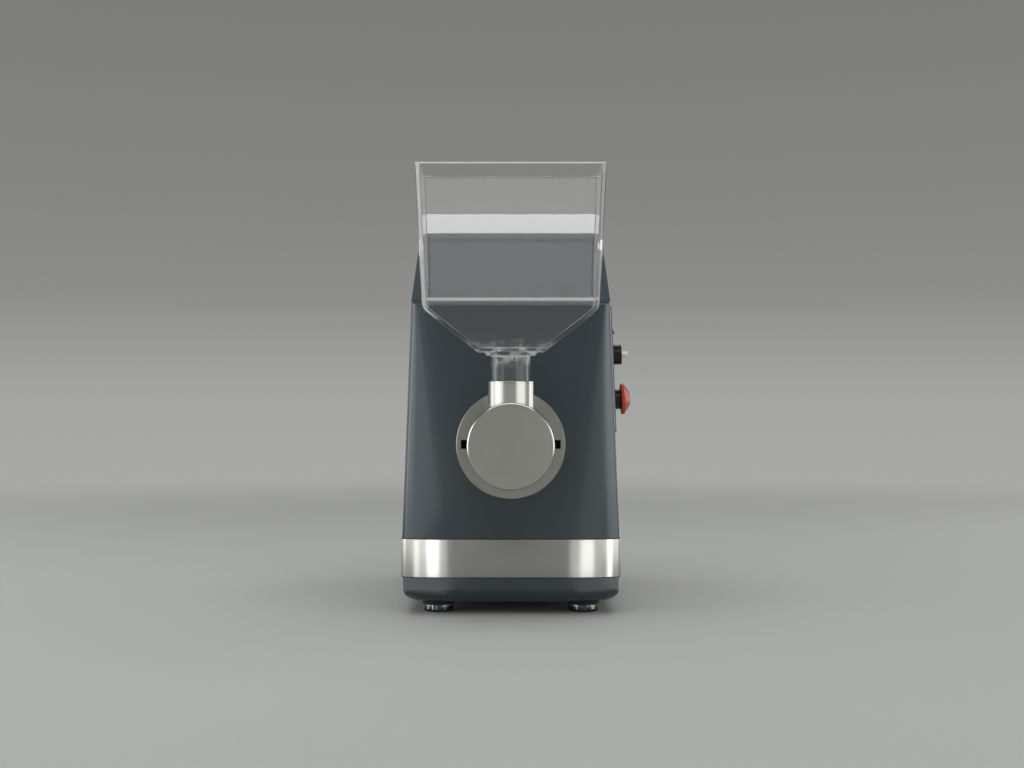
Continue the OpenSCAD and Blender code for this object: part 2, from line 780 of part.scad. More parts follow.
module motor_fan() {
    blades = 9;
    tip_r = cowl_r - cowl_wall - 12;
    bore = motor_shaft_d / 2 + fit;
    color("#2b2d2f") at_body() {
        turned([[bore, fan_y0], [tip_r, fan_y0], [tip_r, fan_y0 + 2], [13, fan_y0 + 2],
            [13, fan_y0 + fan_w], [bore, fan_y0 + fan_w]]);
        for (i = [0:blades - 1])
            translate([0, fan_y0 + 1, head_z]) rotate([0, i * 360 / blades, 0])
                translate([12, 0, -1]) cube([tip_r - 14, fan_w - 2, 2]);
    }
}

module fan_cowl() {
    slots = 12;
    color("#3c464e") at_body() difference() {
        rod(bell_y1 - 6, cowl_y1, cowl_r);
        rod(bell_y1 - 6 - over, cowl_y1 - cowl_wall, cowl_r - cowl_wall);
        for (i = [0:slots - 1])
            translate([0, cowl_y1 - cowl_wall - over, head_z]) rotate([0, i * 360 / slots, 0])
                translate([16, 0, -3]) cube([cowl_r - 32, cowl_wall + 2 * over, 6]);
    }
}

module motor_cradle() {
    color("#6d7173") at_body() difference() {
        union() {
            translate([-cradle_w / 2, motor_y0, chassis_z]) cube([cradle_w, motor_len, cradle_base_t]);
            for (y = [motor_y0 + 24, motor_y1 - 24 - cradle_t])
                translate([-cradle_w / 2, y, chassis_z])
                    cube([cradle_w, cradle_t, head_z - 45 - chassis_z]);
        }
        rod(motor_y0 - over, motor_y1 + over, motor_d / 2 + fit);
        chassis_bolt_spots() bolt_hole(chassis_bolt_d, cradle_base_t + over);
    }
}

// ---- electrics ----

module terminal_box() {
    color("#3c464e") at_body() difference() {
        translate([-box_w / 2, (motor_y0 + motor_y1 - box_len) / 2, head_z + motor_d / 2 - 8])
            cube([box_w, box_len, box_h]);
        rod(motor_y0, motor_y1, motor_d / 2 + fit);
    }
}

module contactor() {
    y0 = (motor_y0 + motor_y1 - contactor_len) / 2;
    color("#d8d8d2") at_body() translate([-cradle_w / 2 - contactor_w - 8, y0, chassis_z]) {
        cube([contactor_w, contactor_len, contactor_h]);
        translate([contactor_w * 0.15, contactor_len * 0.13, 0])
            cube([contactor_w * 0.7, contactor_len * 0.74, contactor_h + contactor_step]);
    }
}

module start_capacitor() {
    tab = capacitor_r / 3;
    color("#c9cbc8") at_body() translate([cradle_w / 2 + capacitor_r + 2, (motor_y0 + motor_y1) / 2, chassis_z]) {
        cylinder(h = capacitor_h, r = capacitor_r, $fn = circle_fn);
        for (x = [-tab, tab])
            translate([x - tab / 4, -tab / 2, capacitor_h]) cube([tab / 2, tab, 1.4 * tab]);
    }
}

// ---- rear cover ----

module rear_plate(w, h, t, r) {
    translate([0, body_depth, cover_z + cover_h / 2]) rotate([-90, 0, 0]) plate(w, h, t, r);
}

module cover_screw_spots() {
    for (x = [-1, 1], z = [0, 0.5, 1])
        translate([x * (cover_w / 2 - 3.5), rear_y, cover_z + 6 + z * (cover_h - 12)])
            rotate([-90, 0, 0]) children();
}

module socket_cut(grow) {
    translate([socket_x - socket_w / 2 - grow, body_depth - over, socket_z - socket_h / 2 - grow])
        cube([socket_w + 2 * grow, cover_t + 2 * over, socket_h + 2 * grow]);
}

module rear_cover() {
    pitch = (cover_h - 130) / vent_rows;
    color("#3f4a4e") at_body() difference() {
        rear_plate(cover_w, cover_h, cover_t, 6);
        for (row = [0:vent_rows - 1], x = [-1, 1])
            translate([x * 40 - 28, body_depth - over, cover_z + 84 + row * pitch])
                cube([56, cover_t + 2 * over, 5]);
        socket_cut(fit);
        cover_screw_spots() bolt_hole(cover_screw_d, cover_t + over);
    }
}

module cover_screws() {
    color("#9c9d99") at_body() cover_screw_spots() {
        translate([0, 0, -cover_t + fit]) cylinder(h = cover_t, r = cover_screw_d / 2, $fn = 32);
        difference() {
            cylinder(h = cover_screw_head, r1 = 3.5, r2 = 2.6, $fn = 32);
            translate([0, 0, 1]) cylinder(h = 2, r = 1.4, $fn = 6);
        }
    }
}

// Power inlet: a flange outside the cover and a socket 24 by 16 mm inside it
module power_inlet() {
    color("#191919") at_body() difference() {
        union() {
            translate([socket_x - socket_w / 2, rear_y - socket_in, socket_z - socket_h / 2])
                cube([socket_w, socket_in + over, socket_h]);
            translate([socket_x, rear_y, socket_z]) rotate([-90, 0, 0])
                plate(socket_w + 6, socket_h + 6, 2, 3);
        }
        translate([socket_x - 12, rear_y - socket_in + 4, socket_z - 8])
            cube([24, socket_in, 16]);
    }
}

module inlet_pins() {
    color("#c8a95a") at_body() for (p = [[-7, -3], [7, -3], [0, 3]])
        translate([socket_x + p[0] - 1, rear_y - socket_in + 4, socket_z + p[1] - 2])
            cube([2, 14, 4]);
}

// ---- grinding head ----

module mounting_flange() {
    r = flange_d / 2;
    slot_in = head_d / 2 - 1;
    color("#8f8f8a") at_body() difference() {
        turned([[shaft_d / 2 + 2, bulkhead_y0], [flange_spigot_d / 2, bulkhead_y0],
            [flange_spigot_d / 2, 0], [r, 0], [r, flange_y + 1], [r - 1, flange_y],
            [shaft_d / 2 + 2, flange_y]]);
        for (side = [-1, 1])
            translate([side > 0 ? slot_in : -slot_in - slot_len, flange_y - over, head_z - slot_h / 2])
                cube([slot_len, flange_t - 2 + over, slot_h]);
        on_circle(4, flange_bolt_r, 45, 0) bolt_hole(flange_bolt_d, flange_t - 3);
        on_circle(4, head_screw_r, 45, bulkhead_y0) translate([0, 0, -bulkhead_y0 - head_screw_d])
            cylinder(h = bulkhead_y0 + head_screw_d + over, r = 0.8 * head_screw_d + fit, $fn = 32);
        on_circle(4, head_screw_r, 45, 0) bolt_hole(head_screw_d, flange_t + over);
    }
}

module flange_bolts() {
    color("#8f908c") at_body() on_circle(4, flange_bolt_r, 45, bulkhead_y1)
        bolt(flange_bolt_d, bulkhead_y1 + flange_t - 4);
}

module head_screws() {
    color("#8f908c") at_body() on_circle(4, head_screw_r, 45, -head_screw_d)
        bolt(head_screw_d, flange_t + housing_wall);
}

// The housing turned from one piece: seal seat, feed screw channel and burr chamber
module grinder_housing() {
    outlet_y0 = cap_back_y + 3;
    color("#a3a49f") at_body() difference() {
        turned([[seal_d / 2, flange_y], [head_d / 2, flange_y], [head_d / 2, cap_back_y],
            [chamber_d / 2, cap_back_y], [chamber_d / 2, screw_y1], [screw_bore_d / 2, screw_y1],
            [screw_bore_d / 2, screw_y0], [shaft_d / 2 + 1, screw_y0],
            [shaft_d / 2 + 1, flange_y - seal_w], [seal_d / 2, flange_y - seal_w]]);
        intersection() {
            translate([0, inlet_y, head_z]) cylinder(h = head_d, r = spout_bore_d / 2, $fn = circle_fn);
            translate([-head_d / 2, screw_y1 + 1, head_z]) cube([head_d, screw_len, head_d]);
        }
        translate([-outlet_w / 2, outlet_y0, head_z - head_d / 2 - over])
            cube([outlet_w, outlet_len, head_d / 2]);
        on_circle(4, head_screw_r, 45, flange_y)
            bolt_hole(head_screw_d, head_screw_d + housing_wall + over);
    }
}

module shaft_seal() {
    color("#1c1c1c") at_body() ring(flange_y - seal_w, flange_y, seal_d / 2 - fit, shaft_d / 2 + fit);
}

// Steel tube, cut to sit on the round housing, with a ledge inside that carries the hopper
module inlet_tube() {
    color("#b4b5b0") at_body() difference() {
        translate([0, inlet_y, head_z]) cylinder(h = inlet_top_z - head_z, r = inlet_d / 2, $fn = circle_fn);
        translate([0, inlet_y, head_z - over])
            cylinder(h = inlet_top_z - head_z + 2 * over, r = spout_bore_d / 2, $fn = circle_fn);
        translate([0, inlet_y, inlet_ledge_z])
            cylinder(h = inlet_seat + over, r = spout_d / 2 + slip, $fn = circle_fn);
        rod(cap_back_y - over, over, head_d / 2);
    }
}

// Feed screw: one helical flight round a hub
module feed_screw() {
    flight_r = screw_bore_d / 2 - 1;
    color("#a9aaa5") at_body() difference() {
        union() {
            rod(screw_y0 - 0.5, burr_back_y, screw_hub_d / 2);
            translate([0, screw_y1 + 0.5, head_z]) rotate([-90, 0, 0])
                linear_extrude(screw_len - 1, twist = 400, slices = 24, convexity = 6)
                    for (a = [0, 180]) rotate(a) translate([shaft_d / 2 + 2, -2.5])
                        square([flight_r - shaft_d / 2 - 2, 5]);
        }
        rod(burr_back_y - over, screw_y0 + over, shaft_d / 2 + fit);
    }
}

// Radial grooves cut into a burr's face at y, deep along +Y or -Y
module burr_grooves(y, deep, r0, r1) {
    count = 16;
    for (i = [0:count - 1])
        translate([0, min(y, y + deep), head_z]) rotate([0, i * 360 / count, 0])
            translate([r0, 0, 0]) cube([r1 - r0, abs(deep), 4]);
}

module fixed_burr() {
    color("#8c8f8d") at_body() difference() {
        ring(burr_face_y, screw_y1, chamber_d / 2 - fit, screw_bore_d / 2);
        burr_grooves(burr_face_y - over, 2 + over, screw_bore_d / 2 - over, chamber_d / 2 - 6);
    }
}

module turning_burr() {
    color("#8c8f8d") at_body() difference() {
        ring(burr_front_y, burr_back_y, chamber_d / 2 - 3, shaft_d / 2 + fit);
        burr_grooves(burr_back_y + over, -2 - over, screw_hub_d / 2 + 2, chamber_d / 2 - 6);
    }
}

module burr_nut() {
    color("#8f908c") at_body() difference() {
        translate([0, burr_front_y - burr_nut_t, head_z]) rotate([-90, 0, 0])
            cylinder(h = burr_nut_t, r = nut_round / 2 + 2, $fn = 6);
        rod(burr_front_y - burr_nut_t - over, burr_front_y + over, shaft_d / 2 + fit);
    }
}

// Cap: a face with a rounded rim and a spigot that carries the sealing ring
spigot_r = chamber_d / 2 - slip;
groove_y0 = cap_back_y + 1;
groove_w = 3.2;
groove_r = spigot_r - 2.8;

module front_cap() {
    r = head_d / 2;
    face = cap_front_y + cap_rim_r;
    color("#8a8a85") at_body() turned(concat(
        [[0, cap_front_y]],
        [for (i = [0:arc_steps]) let (t = 90 * i / arc_steps)
            [r - cap_rim_r + cap_rim_r * sin(t), face - cap_rim_r * cos(t)]],
        [[r, cap_back_y - seat], [spigot_r, cap_back_y - seat], [spigot_r, groove_y0],
            [groove_r, groove_y0], [groove_r, groove_y0 + groove_w], [spigot_r, groove_y0 + groove_w],
            [spigot_r, cap_back_y + cap_spigot], [spigot_r - cap_spigot_wall, cap_back_y + cap_spigot],
            [spigot_r - cap_spigot_wall, cap_back_y - seat], [0, cap_back_y - seat]]));
}

module cap_seal() {
    ring_r = (chamber_d / 2 - seat - groove_r - fit) / 2;
    color("#b4432f") at_body() translate([0, groove_y0 + groove_w / 2, head_z]) rotate([-90, 0, 0])
        rotate_extrude($fn = circle_fn) translate([groove_r + fit + ring_r, 0])
            circle(r = ring_r, $fn = 24);
}

// ---- hopper ----

hopper_y0 = -hopper_front;
hopper_y1 = hopper_y0 + hopper_depth;
hopper_back_top = hopper_y1 + (hopper_rim_z - hopper_back_fold_z) * tan(hopper_back_lean);
back_bend_r = 8;

// Half of the front view, bottom to rim, set in by t from the outside
function side_angle() = atan2((hopper_rim_w - hopper_fold_w) / 2, hopper_rim_z - hopper_fold_z);
function funnel_angle() = atan2(hopper_fold_z - hopper_bottom_z, (hopper_fold_w - hopper_bottom_w) / 2);
function bottom_in(t) = hopper_bottom_w / 2 - t * tan(funnel_angle() / 2);
function fold_in(t) = let (bend = 90 - side_angle() - funnel_angle(), k = t / cos(bend / 2),
    dir = funnel_angle() + 90 + bend / 2)
    [hopper_fold_w / 2 + k * cos(dir), hopper_fold_z + k * sin(dir)];
function rim_in(t, z) = hopper_rim_w / 2 - t / cos(side_angle())
    + (z - hopper_rim_z) * tan(side_angle());
function hopper_front_view(t, top) =
    let (f = fold_in(t), b = bottom_in(t), r = rim_in(t, top), low = hopper_bottom_z + t)
    rounded([[-r, top], [-f[0], f[1]], [-b, low], [b, low], f, [r, top]],
        [0, hopper_fold_r - t, 0, 0, hopper_fold_r - t, 0]);

// Side view of the hopper between its front face and its back face, each set in by t
function hopper_side_view(t, low, top) =
    let (k = t / cos(hopper_back_lean), bend = t * tan(hopper_back_lean / 2))
    [[hopper_y0 + t, low], [hopper_y1 - t, low], [hopper_y1 - t, hopper_back_fold_z + bend],
        [hopper_y1 - k + (top - hopper_back_fold_z) * tan(hopper_back_lean), top],
        [hopper_y0 + t, top]];

module hopper_block(t, top) {
    front_view(hopper_front_view(t, top), hopper_y0 - over, hopper_back_top + 2 * sheet_t);
}
module hopper_span(t, low, top) {
    side = hopper_side_view(t, low, top);
    across(rounded(side, [0, 0, back_bend_r + t, 0, 0]), hopper_rim_w);
}

// Hole for the hopper's tube, from z up through t
module spout_hole(z, t) {
    translate([0, inlet_y, z - over]) cylinder(h = t + 2 * over, r = spout_d / 2 + fit, $fn = circle_fn);
}

module hopper_front_panel() {
    color([0.85, 0.9, 0.92, 0.35]) at_body()
        front_view(hopper_front_view(0, hopper_rim_z), hopper_y0, hopper_y0 + sheet_t);
}

module hopper_back_panel() {
    color([0.85, 0.9, 0.92, 0.35]) at_body() intersection() {
        hopper_block(0, hopper_rim_z);
        difference() {
            hopper_span(0, hopper_bottom_z - over, hopper_rim_z);
            hopper_span(sheet_t, hopper_bottom_z - 2 * over, hopper_rim_z + over);
            translate([-hopper_rim_w, hopper_y0 - over, 0])
                cube([2 * hopper_rim_w, sheet_t + 2 * over, hopper_rim_z + over]);
            spout_hole(hopper_bottom_z, sheet_t);
        }
    }
}

// Both sides, both slopes and the bottom: one strip, folded to shape
module hopper_sides() {
    color([0.85, 0.9, 0.92, 0.35]) at_body() difference() {
        intersection() {
            hopper_block(0, hopper_rim_z);
            hopper_span(sheet_t, hopper_bottom_z - over, hopper_rim_z);
        }
        hopper_block(sheet_t, hopper_rim_z + over);
        spout_hole(hopper_bottom_z, sheet_t);
    }
}

module hopper_tube() {
    z0 = inlet_ledge_z + seat;
    color([0.85, 0.9, 0.92, 0.35]) at_body() translate([0, inlet_y, z0]) difference() {
        cylinder(h = hopper_bottom_z + sheet_t - z0, r = spout_d / 2, $fn = circle_fn);
        translate([0, 0, -over])
            cylinder(h = hopper_bottom_z + sheet_t, r = spout_bore_d / 2, $fn = circle_fn);
    }
}

module hopper_collar() {
    low = hopper_bottom_z - collar_h;
    color([0.85, 0.9, 0.92, 0.35]) at_body() difference() {
        translate([0, inlet_y, low])
            cylinder(h = collar_h, r1 = collar_d / 2 - 4, r2 = collar_d / 2, $fn = circle_fn);
        translate([-collar_d / 2, hopper_y1, low - over]) cube([collar_d, collar_d, collar_h + 2 * over]);
        spout_hole(low, collar_h);
    }
}

// ---- controls on the right-hand side ----

module control_panel() {
    color("#3f4a4e") at_body() difference() {
        on_side(controls_y, panel_z) plate(panel_h, panel_w, panel_t, 5);
        control_cuts();
    }
}

module switch_body() {
    deep = 18;
    color("#141414") at_body() on_side(controls_y, switch_z) difference() {
        union() {
            translate([0, 0, panel_t]) plate(switch_h, switch_w, 2, 1.5);
            translate([-switch_h / 2 + 1, -switch_w / 2 + 1, -deep])
                cube([switch_h - 2, switch_w - 2, deep + panel_t]);
        }
        translate([-rocker_len / 2 - 1.5, -rocker_wide / 2 - slip, -deep + 3])
            cube([rocker_len + 3, rocker_wide + 2 * slip, deep + panel_t + over]);
    }
}

// Rocker: its upper half is pressed in and its lower half stands out
module switch_rocker() {
    rise = rocker_swing / 2;
    half = rocker_len / 2;
    level = panel_t + pivot_in + 1.2;
    color("#141414") at_body() on_side(controls_y, switch_z) translate([0, rocker_wide / 2, -pivot_in])
        rotate([0, -rise, 0]) rotate([90, 0, 0]) linear_extrude(rocker_wide)
            polygon([[-half, level + half * tan(rise)], [-half + 1, 0], [-4, -6], [4, -6],
                [half - 1, 0], [half, level + half * tan(rise)], [0, level]]);
}

module reset_body() {
    deep = reset_in + reset_block[2];
    color("#141414") at_body() on_side(controls_y, reset_z) difference() {
        union() {
            translate([0, 0, panel_t]) cylinder(h = reset_body_h, r = reset_body_d / 2, $fn = circle_fn);
            translate([0, 0, -reset_in]) cylinder(h = reset_in + panel_t, r = reset_barrel_r, $fn = circle_fn);
            translate([-reset_block[0] / 2, -reset_block[1] / 2, -deep]) cube(reset_block);
        }
        translate([0, 0, -reset_in - 6])
            cylinder(h = deep + reset_body_h, r = reset_d / 2 + 0.1, $fn = circle_fn);
    }
}

module reset_button() {
    z0 = -reset_in - 6 + reset_travel + 0.5;
    top = panel_t + reset_body_h + reset_out;
    color("#e4e6e2") at_body() on_side(controls_y, reset_z) {
        translate([0, 0, z0]) cylinder(h = top - 1 - z0, r = reset_d / 2, $fn = circle_fn);
        translate([0, 0, top - 1]) cylinder(h = 1, r1 = reset_d / 2, r2 = reset_d / 2 - 1, $fn = circle_fn);
    }
}

module estop_body() {
    color("#141414") at_body() on_side(controls_y, estop_z) difference() {
        union() {
            translate([0, 0, panel_t])
                cylinder(h = estop_collar_h, r = estop_collar_d / 2, $fn = circle_fn);
            translate([0, 0, -estop_in])
                cylinder(h = estop_in + panel_t, r = estop_barrel_r, $fn = circle_fn);
            translate([0, 0, -shell_wall - 6]) cylinder(h = 6, r = estop_barrel_r + 4, $fn = 6);
        }
        translate([0, 0, -estop_in + 3])
            cylinder(h = estop_in + estop_base, r = estop_stem_r + 0.1, $fn = circle_fn);
    }
}

module estop_contacts() {
    color("#2d2f31") at_body() on_side(controls_y, estop_z)
        translate([-15, -14, -estop_in - 20]) cube([30, 28, 20]);
}

estop_recess = 5.5;

module estop_stem() {
    z0 = -estop_in + 3 + estop_travel + 0.5;
    color("#1d1d1d") at_body() on_side(controls_y, estop_z)
        translate([0, 0, z0]) cylinder(h = estop_base + estop_recess - seat - z0, r = estop_stem_r, $fn = circle_fn);
}

// Mushroom head: a ribbed rim, a cone to a flat face, and a recess that passes the collar
module estop_head() {
    r = estop_d / 2;
    rim = 4.2;
    ribs = 40;
    color("#c8503f") at_body() on_side(controls_y, estop_z) translate([0, 0, estop_base]) {
        difference() {
            union() {
                cylinder(h = rim, r = r - 0.7, $fn = circle_fn);
                translate([0, 0, rim]) cylinder(h = estop_h - rim, r1 = r - 0.7, r2 = estop_face_d / 2,
                    $fn = circle_fn);
                for (i = [0:ribs - 1])
                    rotate(i * 360 / ribs) translate([r - 1.4, -0.7, 0]) cube([1.4, 1.4, rim]);
            }
            translate([0, 0, -over])
                cylinder(h = estop_recess + over, r = estop_collar_d / 2 + 1, $fn = circle_fn);
        }
    }
}

body_shell();
base_tray();
trim_band();
rear_cover();
cover_screws();
chassis_plate();
chassis_bolts();
bulkhead();
bearing_housing();
bearing_bolts();
front_bearing();
rear_bearing();
main_shaft();
front_coupling();
coupling_spider();
rear_coupling();
motor_shell();
motor_stator();
motor_windings();
motor_front_bell();
motor_rear_bell();
motor_bearings();
motor_rotor();
motor_fan();
fan_cowl();
motor_cradle();
terminal_box();
contactor();
start_capacitor();
power_inlet();
inlet_pins();
mounting_flange();
flange_bolts();
head_screws();
grinder_housing();
shaft_seal();
inlet_tube();
feed_screw();
fixed_burr();
turning_burr();
burr_nut();
front_cap();
cap_seal();
hopper_front_panel();
hopper_back_panel();
hopper_sides();
hopper_collar();
hopper_tube();
control_panel();
switch_body();
switch_rocker();
reset_body();
reset_button();
estop_body();
estop_contacts();
estop_stem();
estop_head();
feet();
foot_pads();
foot_bolts();
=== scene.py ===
import math
import bmesh
import bpy
import numpy as np
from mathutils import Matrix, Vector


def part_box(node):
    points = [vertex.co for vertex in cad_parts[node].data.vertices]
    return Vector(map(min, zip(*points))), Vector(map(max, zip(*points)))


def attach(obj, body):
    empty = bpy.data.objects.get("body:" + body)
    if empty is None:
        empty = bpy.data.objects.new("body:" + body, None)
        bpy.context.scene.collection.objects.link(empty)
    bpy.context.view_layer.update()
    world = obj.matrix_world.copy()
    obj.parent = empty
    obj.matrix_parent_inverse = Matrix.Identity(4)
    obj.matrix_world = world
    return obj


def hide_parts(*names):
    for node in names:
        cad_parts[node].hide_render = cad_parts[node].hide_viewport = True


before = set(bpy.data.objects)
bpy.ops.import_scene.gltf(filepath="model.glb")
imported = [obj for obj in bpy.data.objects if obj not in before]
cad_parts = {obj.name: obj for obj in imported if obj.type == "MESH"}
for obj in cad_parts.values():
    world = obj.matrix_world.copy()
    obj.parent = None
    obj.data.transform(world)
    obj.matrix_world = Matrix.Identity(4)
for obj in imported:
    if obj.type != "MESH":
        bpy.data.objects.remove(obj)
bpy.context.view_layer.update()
print("frame loaded:", len(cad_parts), "nodes")

# Drawing millimetres, as in the part's source: x from the middle of the body, y back from its
# front face, z up from the floor. The body's own box says where that zero lies.
shellLow, shellHigh = (np.array(c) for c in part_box("body_shell"))
drawingZero = np.array([(shellLow[0] + shellHigh[0]) / 2, shellLow[1], 0.0])


def metres(points):
    return np.asarray(points, float) * 0.001 + drawingZero


# What the part's source says about the body, in millimetres and degrees
body = {"width": 273.8, "depth": 380, "lean": 2.29, "shoulder": 391, "slope": 38, "brow": 491,
        "topAngle": 25.5, "crest": 200, "cornerLow": 55, "cornerHigh": 8, "cornerDepth": 13, "rearRadius": 20,
        "bend": 9, "bandLow": 48.2, "bandHigh": 95.5, "joint": 71.85, "gap": 14.8}
headZ = 215


def srgb(text, by=1.0):  # "#rrggbb" to the linear values a shader wants, times a factor, up to white
    v = np.array([int(text[i:i + 2], 16) for i in (1, 3, 5)]) / 255
    linear = np.where(v <= 0.04045, v / 12.92, ((v + 0.055) / 1.055) ** 2.4)
    return (*np.minimum(linear * by, 1.0), 1.0)


def drift(colour, dark, light):  # two stops of a colour ramp: a darker and a lighter tone of one colour
    return [(0.3, srgb(colour, dark)), (0.7, srgb(colour, light))]


def add(tree, kind, inputs=None, stops=None, to=None, **settings):
    # One node with its settings. An input that is a socket is linked, stops are the places and
    # colours of a colour ramp, and to is a socket that takes the first output. Gives the outputs.
    node = tree.nodes.new("ShaderNode" + kind)
    for key, value in settings.items():
        setattr(node, key, value)
    for key, value in (inputs or {}).items():
        if isinstance(value, bpy.types.NodeSocket):
            tree.links.new(value, node.inputs[key])
        else:
            node.inputs[key].default_value = value
    if stops is not None:
        elements = node.color_ramp.elements
        while len(elements) < len(stops):
            elements.new(0.5)
        for element, (place, colour) in zip(elements, stops):
            element.position = place
            element.color = colour
    if to is not None:
        tree.links.new(node.outputs[0], to)
    return node.outputs


def newMaterial(name, **sockets):  # a Principled material; gives it with its tree, shader and coordinates
    mat = bpy.data.materials.new(name)
    mat.use_nodes = True
    tree = mat.node_tree
    shader = tree.nodes["Principled BSDF"]
    for key, value in sockets.items():
        shader.inputs[key.replace("_", " ")].default_value = value
    return mat, tree, shader, add(tree, "TexCoord")["Object"]


def patch(grid, around=True, closed=False, keep=None, flip=False, uv=None):
    # A grid of points [row, column, xyz] and the quads that join each point with its right, lower
    # and lower-right neighbours; around joins the last column to the first, closed the last row
    rows, cols = grid.shape[:2]
    index = np.arange(rows * cols).reshape(rows, cols)
    top = index if closed else index[:-1]
    low = np.roll(index, -1, 0) if closed else index[1:]
    quads = np.stack([top, low, np.roll(low, -1, 1), np.roll(top, -1, 1)], -1)
    if not around:
        quads = quads[:, :-1]
    if flip:
        quads = quads[..., ::-1]
    quads = quads[keep] if keep is not None else quads.reshape(-1, 4)
    corners = None
    if uv is not None:  # uv holds one more column than the grid where it goes around
        r, c = np.divmod(quads, cols)
        c = np.where((c == 0) & (c.max(1, keepdims=True) == cols - 1) & around, cols, c)
        corners = uv[r, c]
    return grid.reshape(-1, 3), quads, corners


def turnedPatch(profile, place, steps, ribs=0.0, flip=False):
    # A profile of (radius, height) carried round its axis; place maps the turned points into the
    # drawing. ribs are added to the radius: one height for each profile point and angle.
    profile = np.asarray(profile, float)
    angle = np.linspace(0, 2 * math.pi, steps, endpoint=False)
    radius = np.broadcast_to(profile[:, :1], (len(profile), steps)) + ribs
    grid = np.stack([radius * np.cos(angle), radius * np.sin(angle),
                     np.broadcast_to(profile[:, 1:], radius.shape)], -1)
    return patch(place(grid), flip=flip)


def newPiece(name, patches, mat, ridesOn, replaced=(), sharp=30, frost=None, lampsFor=()):
    # One object from patches: doubles welded, collapsed faces dropped, creases kept sharp.
    # lampsFor are the groups with lamps of their own that it belongs to.
    points = np.concatenate([p[0] for p in patches])
    starts = np.cumsum([0] + [len(p[0]) for p in patches[:-1]])
    quads = np.concatenate([p[1] + s for p, s in zip(patches, starts)])
    mesh = bpy.data.meshes.new(name)
    mesh.from_pydata(metres(points).tolist(), [], quads.tolist())
    if patches[0][2] is not None:
        layer = mesh.uv_layers.new(name="UVMap")
        layer.uv.foreach_set("vector", np.concatenate([p[2] for p in patches]).reshape(-1))
    if frost is not None:  # how frosted, and how smeared with glue, each point of clear sheet is
        mesh.attributes.new("frost", "FLOAT_VECTOR", "POINT").data.foreach_set("vector", frost.reshape(-1))
    bm = bmesh.new()
    bm.from_mesh(mesh)
    bmesh.ops.remove_doubles(bm, verts=bm.verts, dist=3e-6)
    bmesh.ops.dissolve_degenerate(bm, edges=bm.edges, dist=2e-6)
    bmesh.ops.delete(bm, geom=[v for v in bm.verts if not v.link_faces], context="VERTS")
    bmesh.ops.recalc_face_normals(bm, faces=bm.faces)
    bm.to_mesh(mesh)
    bm.free()
    mesh.polygons.foreach_set("use_smooth", np.ones(len(mesh.polygons), bool))
    mesh.set_sharp_from_angle(angle=math.radians(sharp))
    sides, crease = np.empty(len(mesh.loops), int), np.empty(len(mesh.edges), bool)
    mesh.loops.foreach_get("edge_index", sides)
    mesh.edges.foreach_get("use_edge_sharp", crease)
    # the edge of an opening is sharp, so that the wall's cut side doesn't bend the shading round it
    mesh.edges.foreach_set("use_edge_sharp", crease | (np.bincount(sides, minlength=len(mesh.edges)) == 1))
    obj = bpy.data.objects.new(name, mesh)
    bpy.context.scene.collection.objects.link(obj)
    mesh.materials.append(mat)
    for group in lampsFor if mat == acrylic else (*lampsFor, opaque):
        group.objects.link(obj)
    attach(obj, ridesOn)
    if replaced:
        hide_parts(*replaced)
    return obj


def thicken(obj, wall):  # grows a skin inwards into a wall of that many millimetres
    mod = obj.modifiers.new("wall", "SOLIDIFY")
    mod.thickness = wall * 0.001
    mod.offset = -1
    mod.use_even_offset = True


def arcPoints(centre, radius, start, end, steps):  # points along an arc, angles in degrees
    t = np.radians(np.linspace(start, end, steps + 1))
    return np.stack([centre[0] + radius * np.cos(t), centre[1] + radius * np.sin(t)], -1)


def roundedLine(points, radii, steps=14):  # a polyline whose inner corners are arcs of those radii
    points = np.array(points, float)
    out = [points[:1]]
    for p, q, s, r in zip(points[:-2], points[1:-1], points[2:], radii):
        u, w = (p - q) / np.linalg.norm(p - q), (s - q) / np.linalg.norm(s - q)
        half = math.acos(np.clip(u @ w, -1, 1)) / 2
        centre = q + (u + w) / np.linalg.norm(u + w) * r / math.sin(half)
        a, b = q + u * r / math.tan(half) - centre, q + w * r / math.tan(half) - centre
        turn = math.atan2(a[0] * b[1] - a[1] * b[0], a @ b)
        t = np.linspace(0, turn, steps + 1)[:, None]
        out.append(centre + a * np.cos(t) + np.array([-a[1], a[0]]) * np.sin(t))
    return np.concatenate(out + [points[-1:]])


view = {"at": (1.5, -1778, 290), "lens": 50, "sensor": 36}
camera = bpy.data.objects.new("photoCamera", bpy.data.cameras.new("photoCamera"))
camera.location = metres(view["at"])
camera.rotation_euler = (math.pi / 2, 0, 0)
camera.data.lens, camera.data.sensor_width = view["lens"], view["sensor"]
camera.data.clip_end = 60
bpy.context.scene.collection.objects.link(camera)
bpy.context.scene.camera = camera
bpy.context.scene.view_settings.view_transform = "Standard"

# wall: the greys of the backdrop's glow, painted darker with height to stand in for the fall of light
studio = {"flat": 3.2, "curve": 2.6, "high": 5.2, "floor": "#b4b5b2", "fade": (0.9, 2.6), "tall": 2.4,
          "wall": [(0.0, "#a8a9a7"), (0.1, "#a4a5a3"), (0.29, "#8d8e8c"), (0.52, "#848583"),
                   (1.0, "#7c7d7b")]}


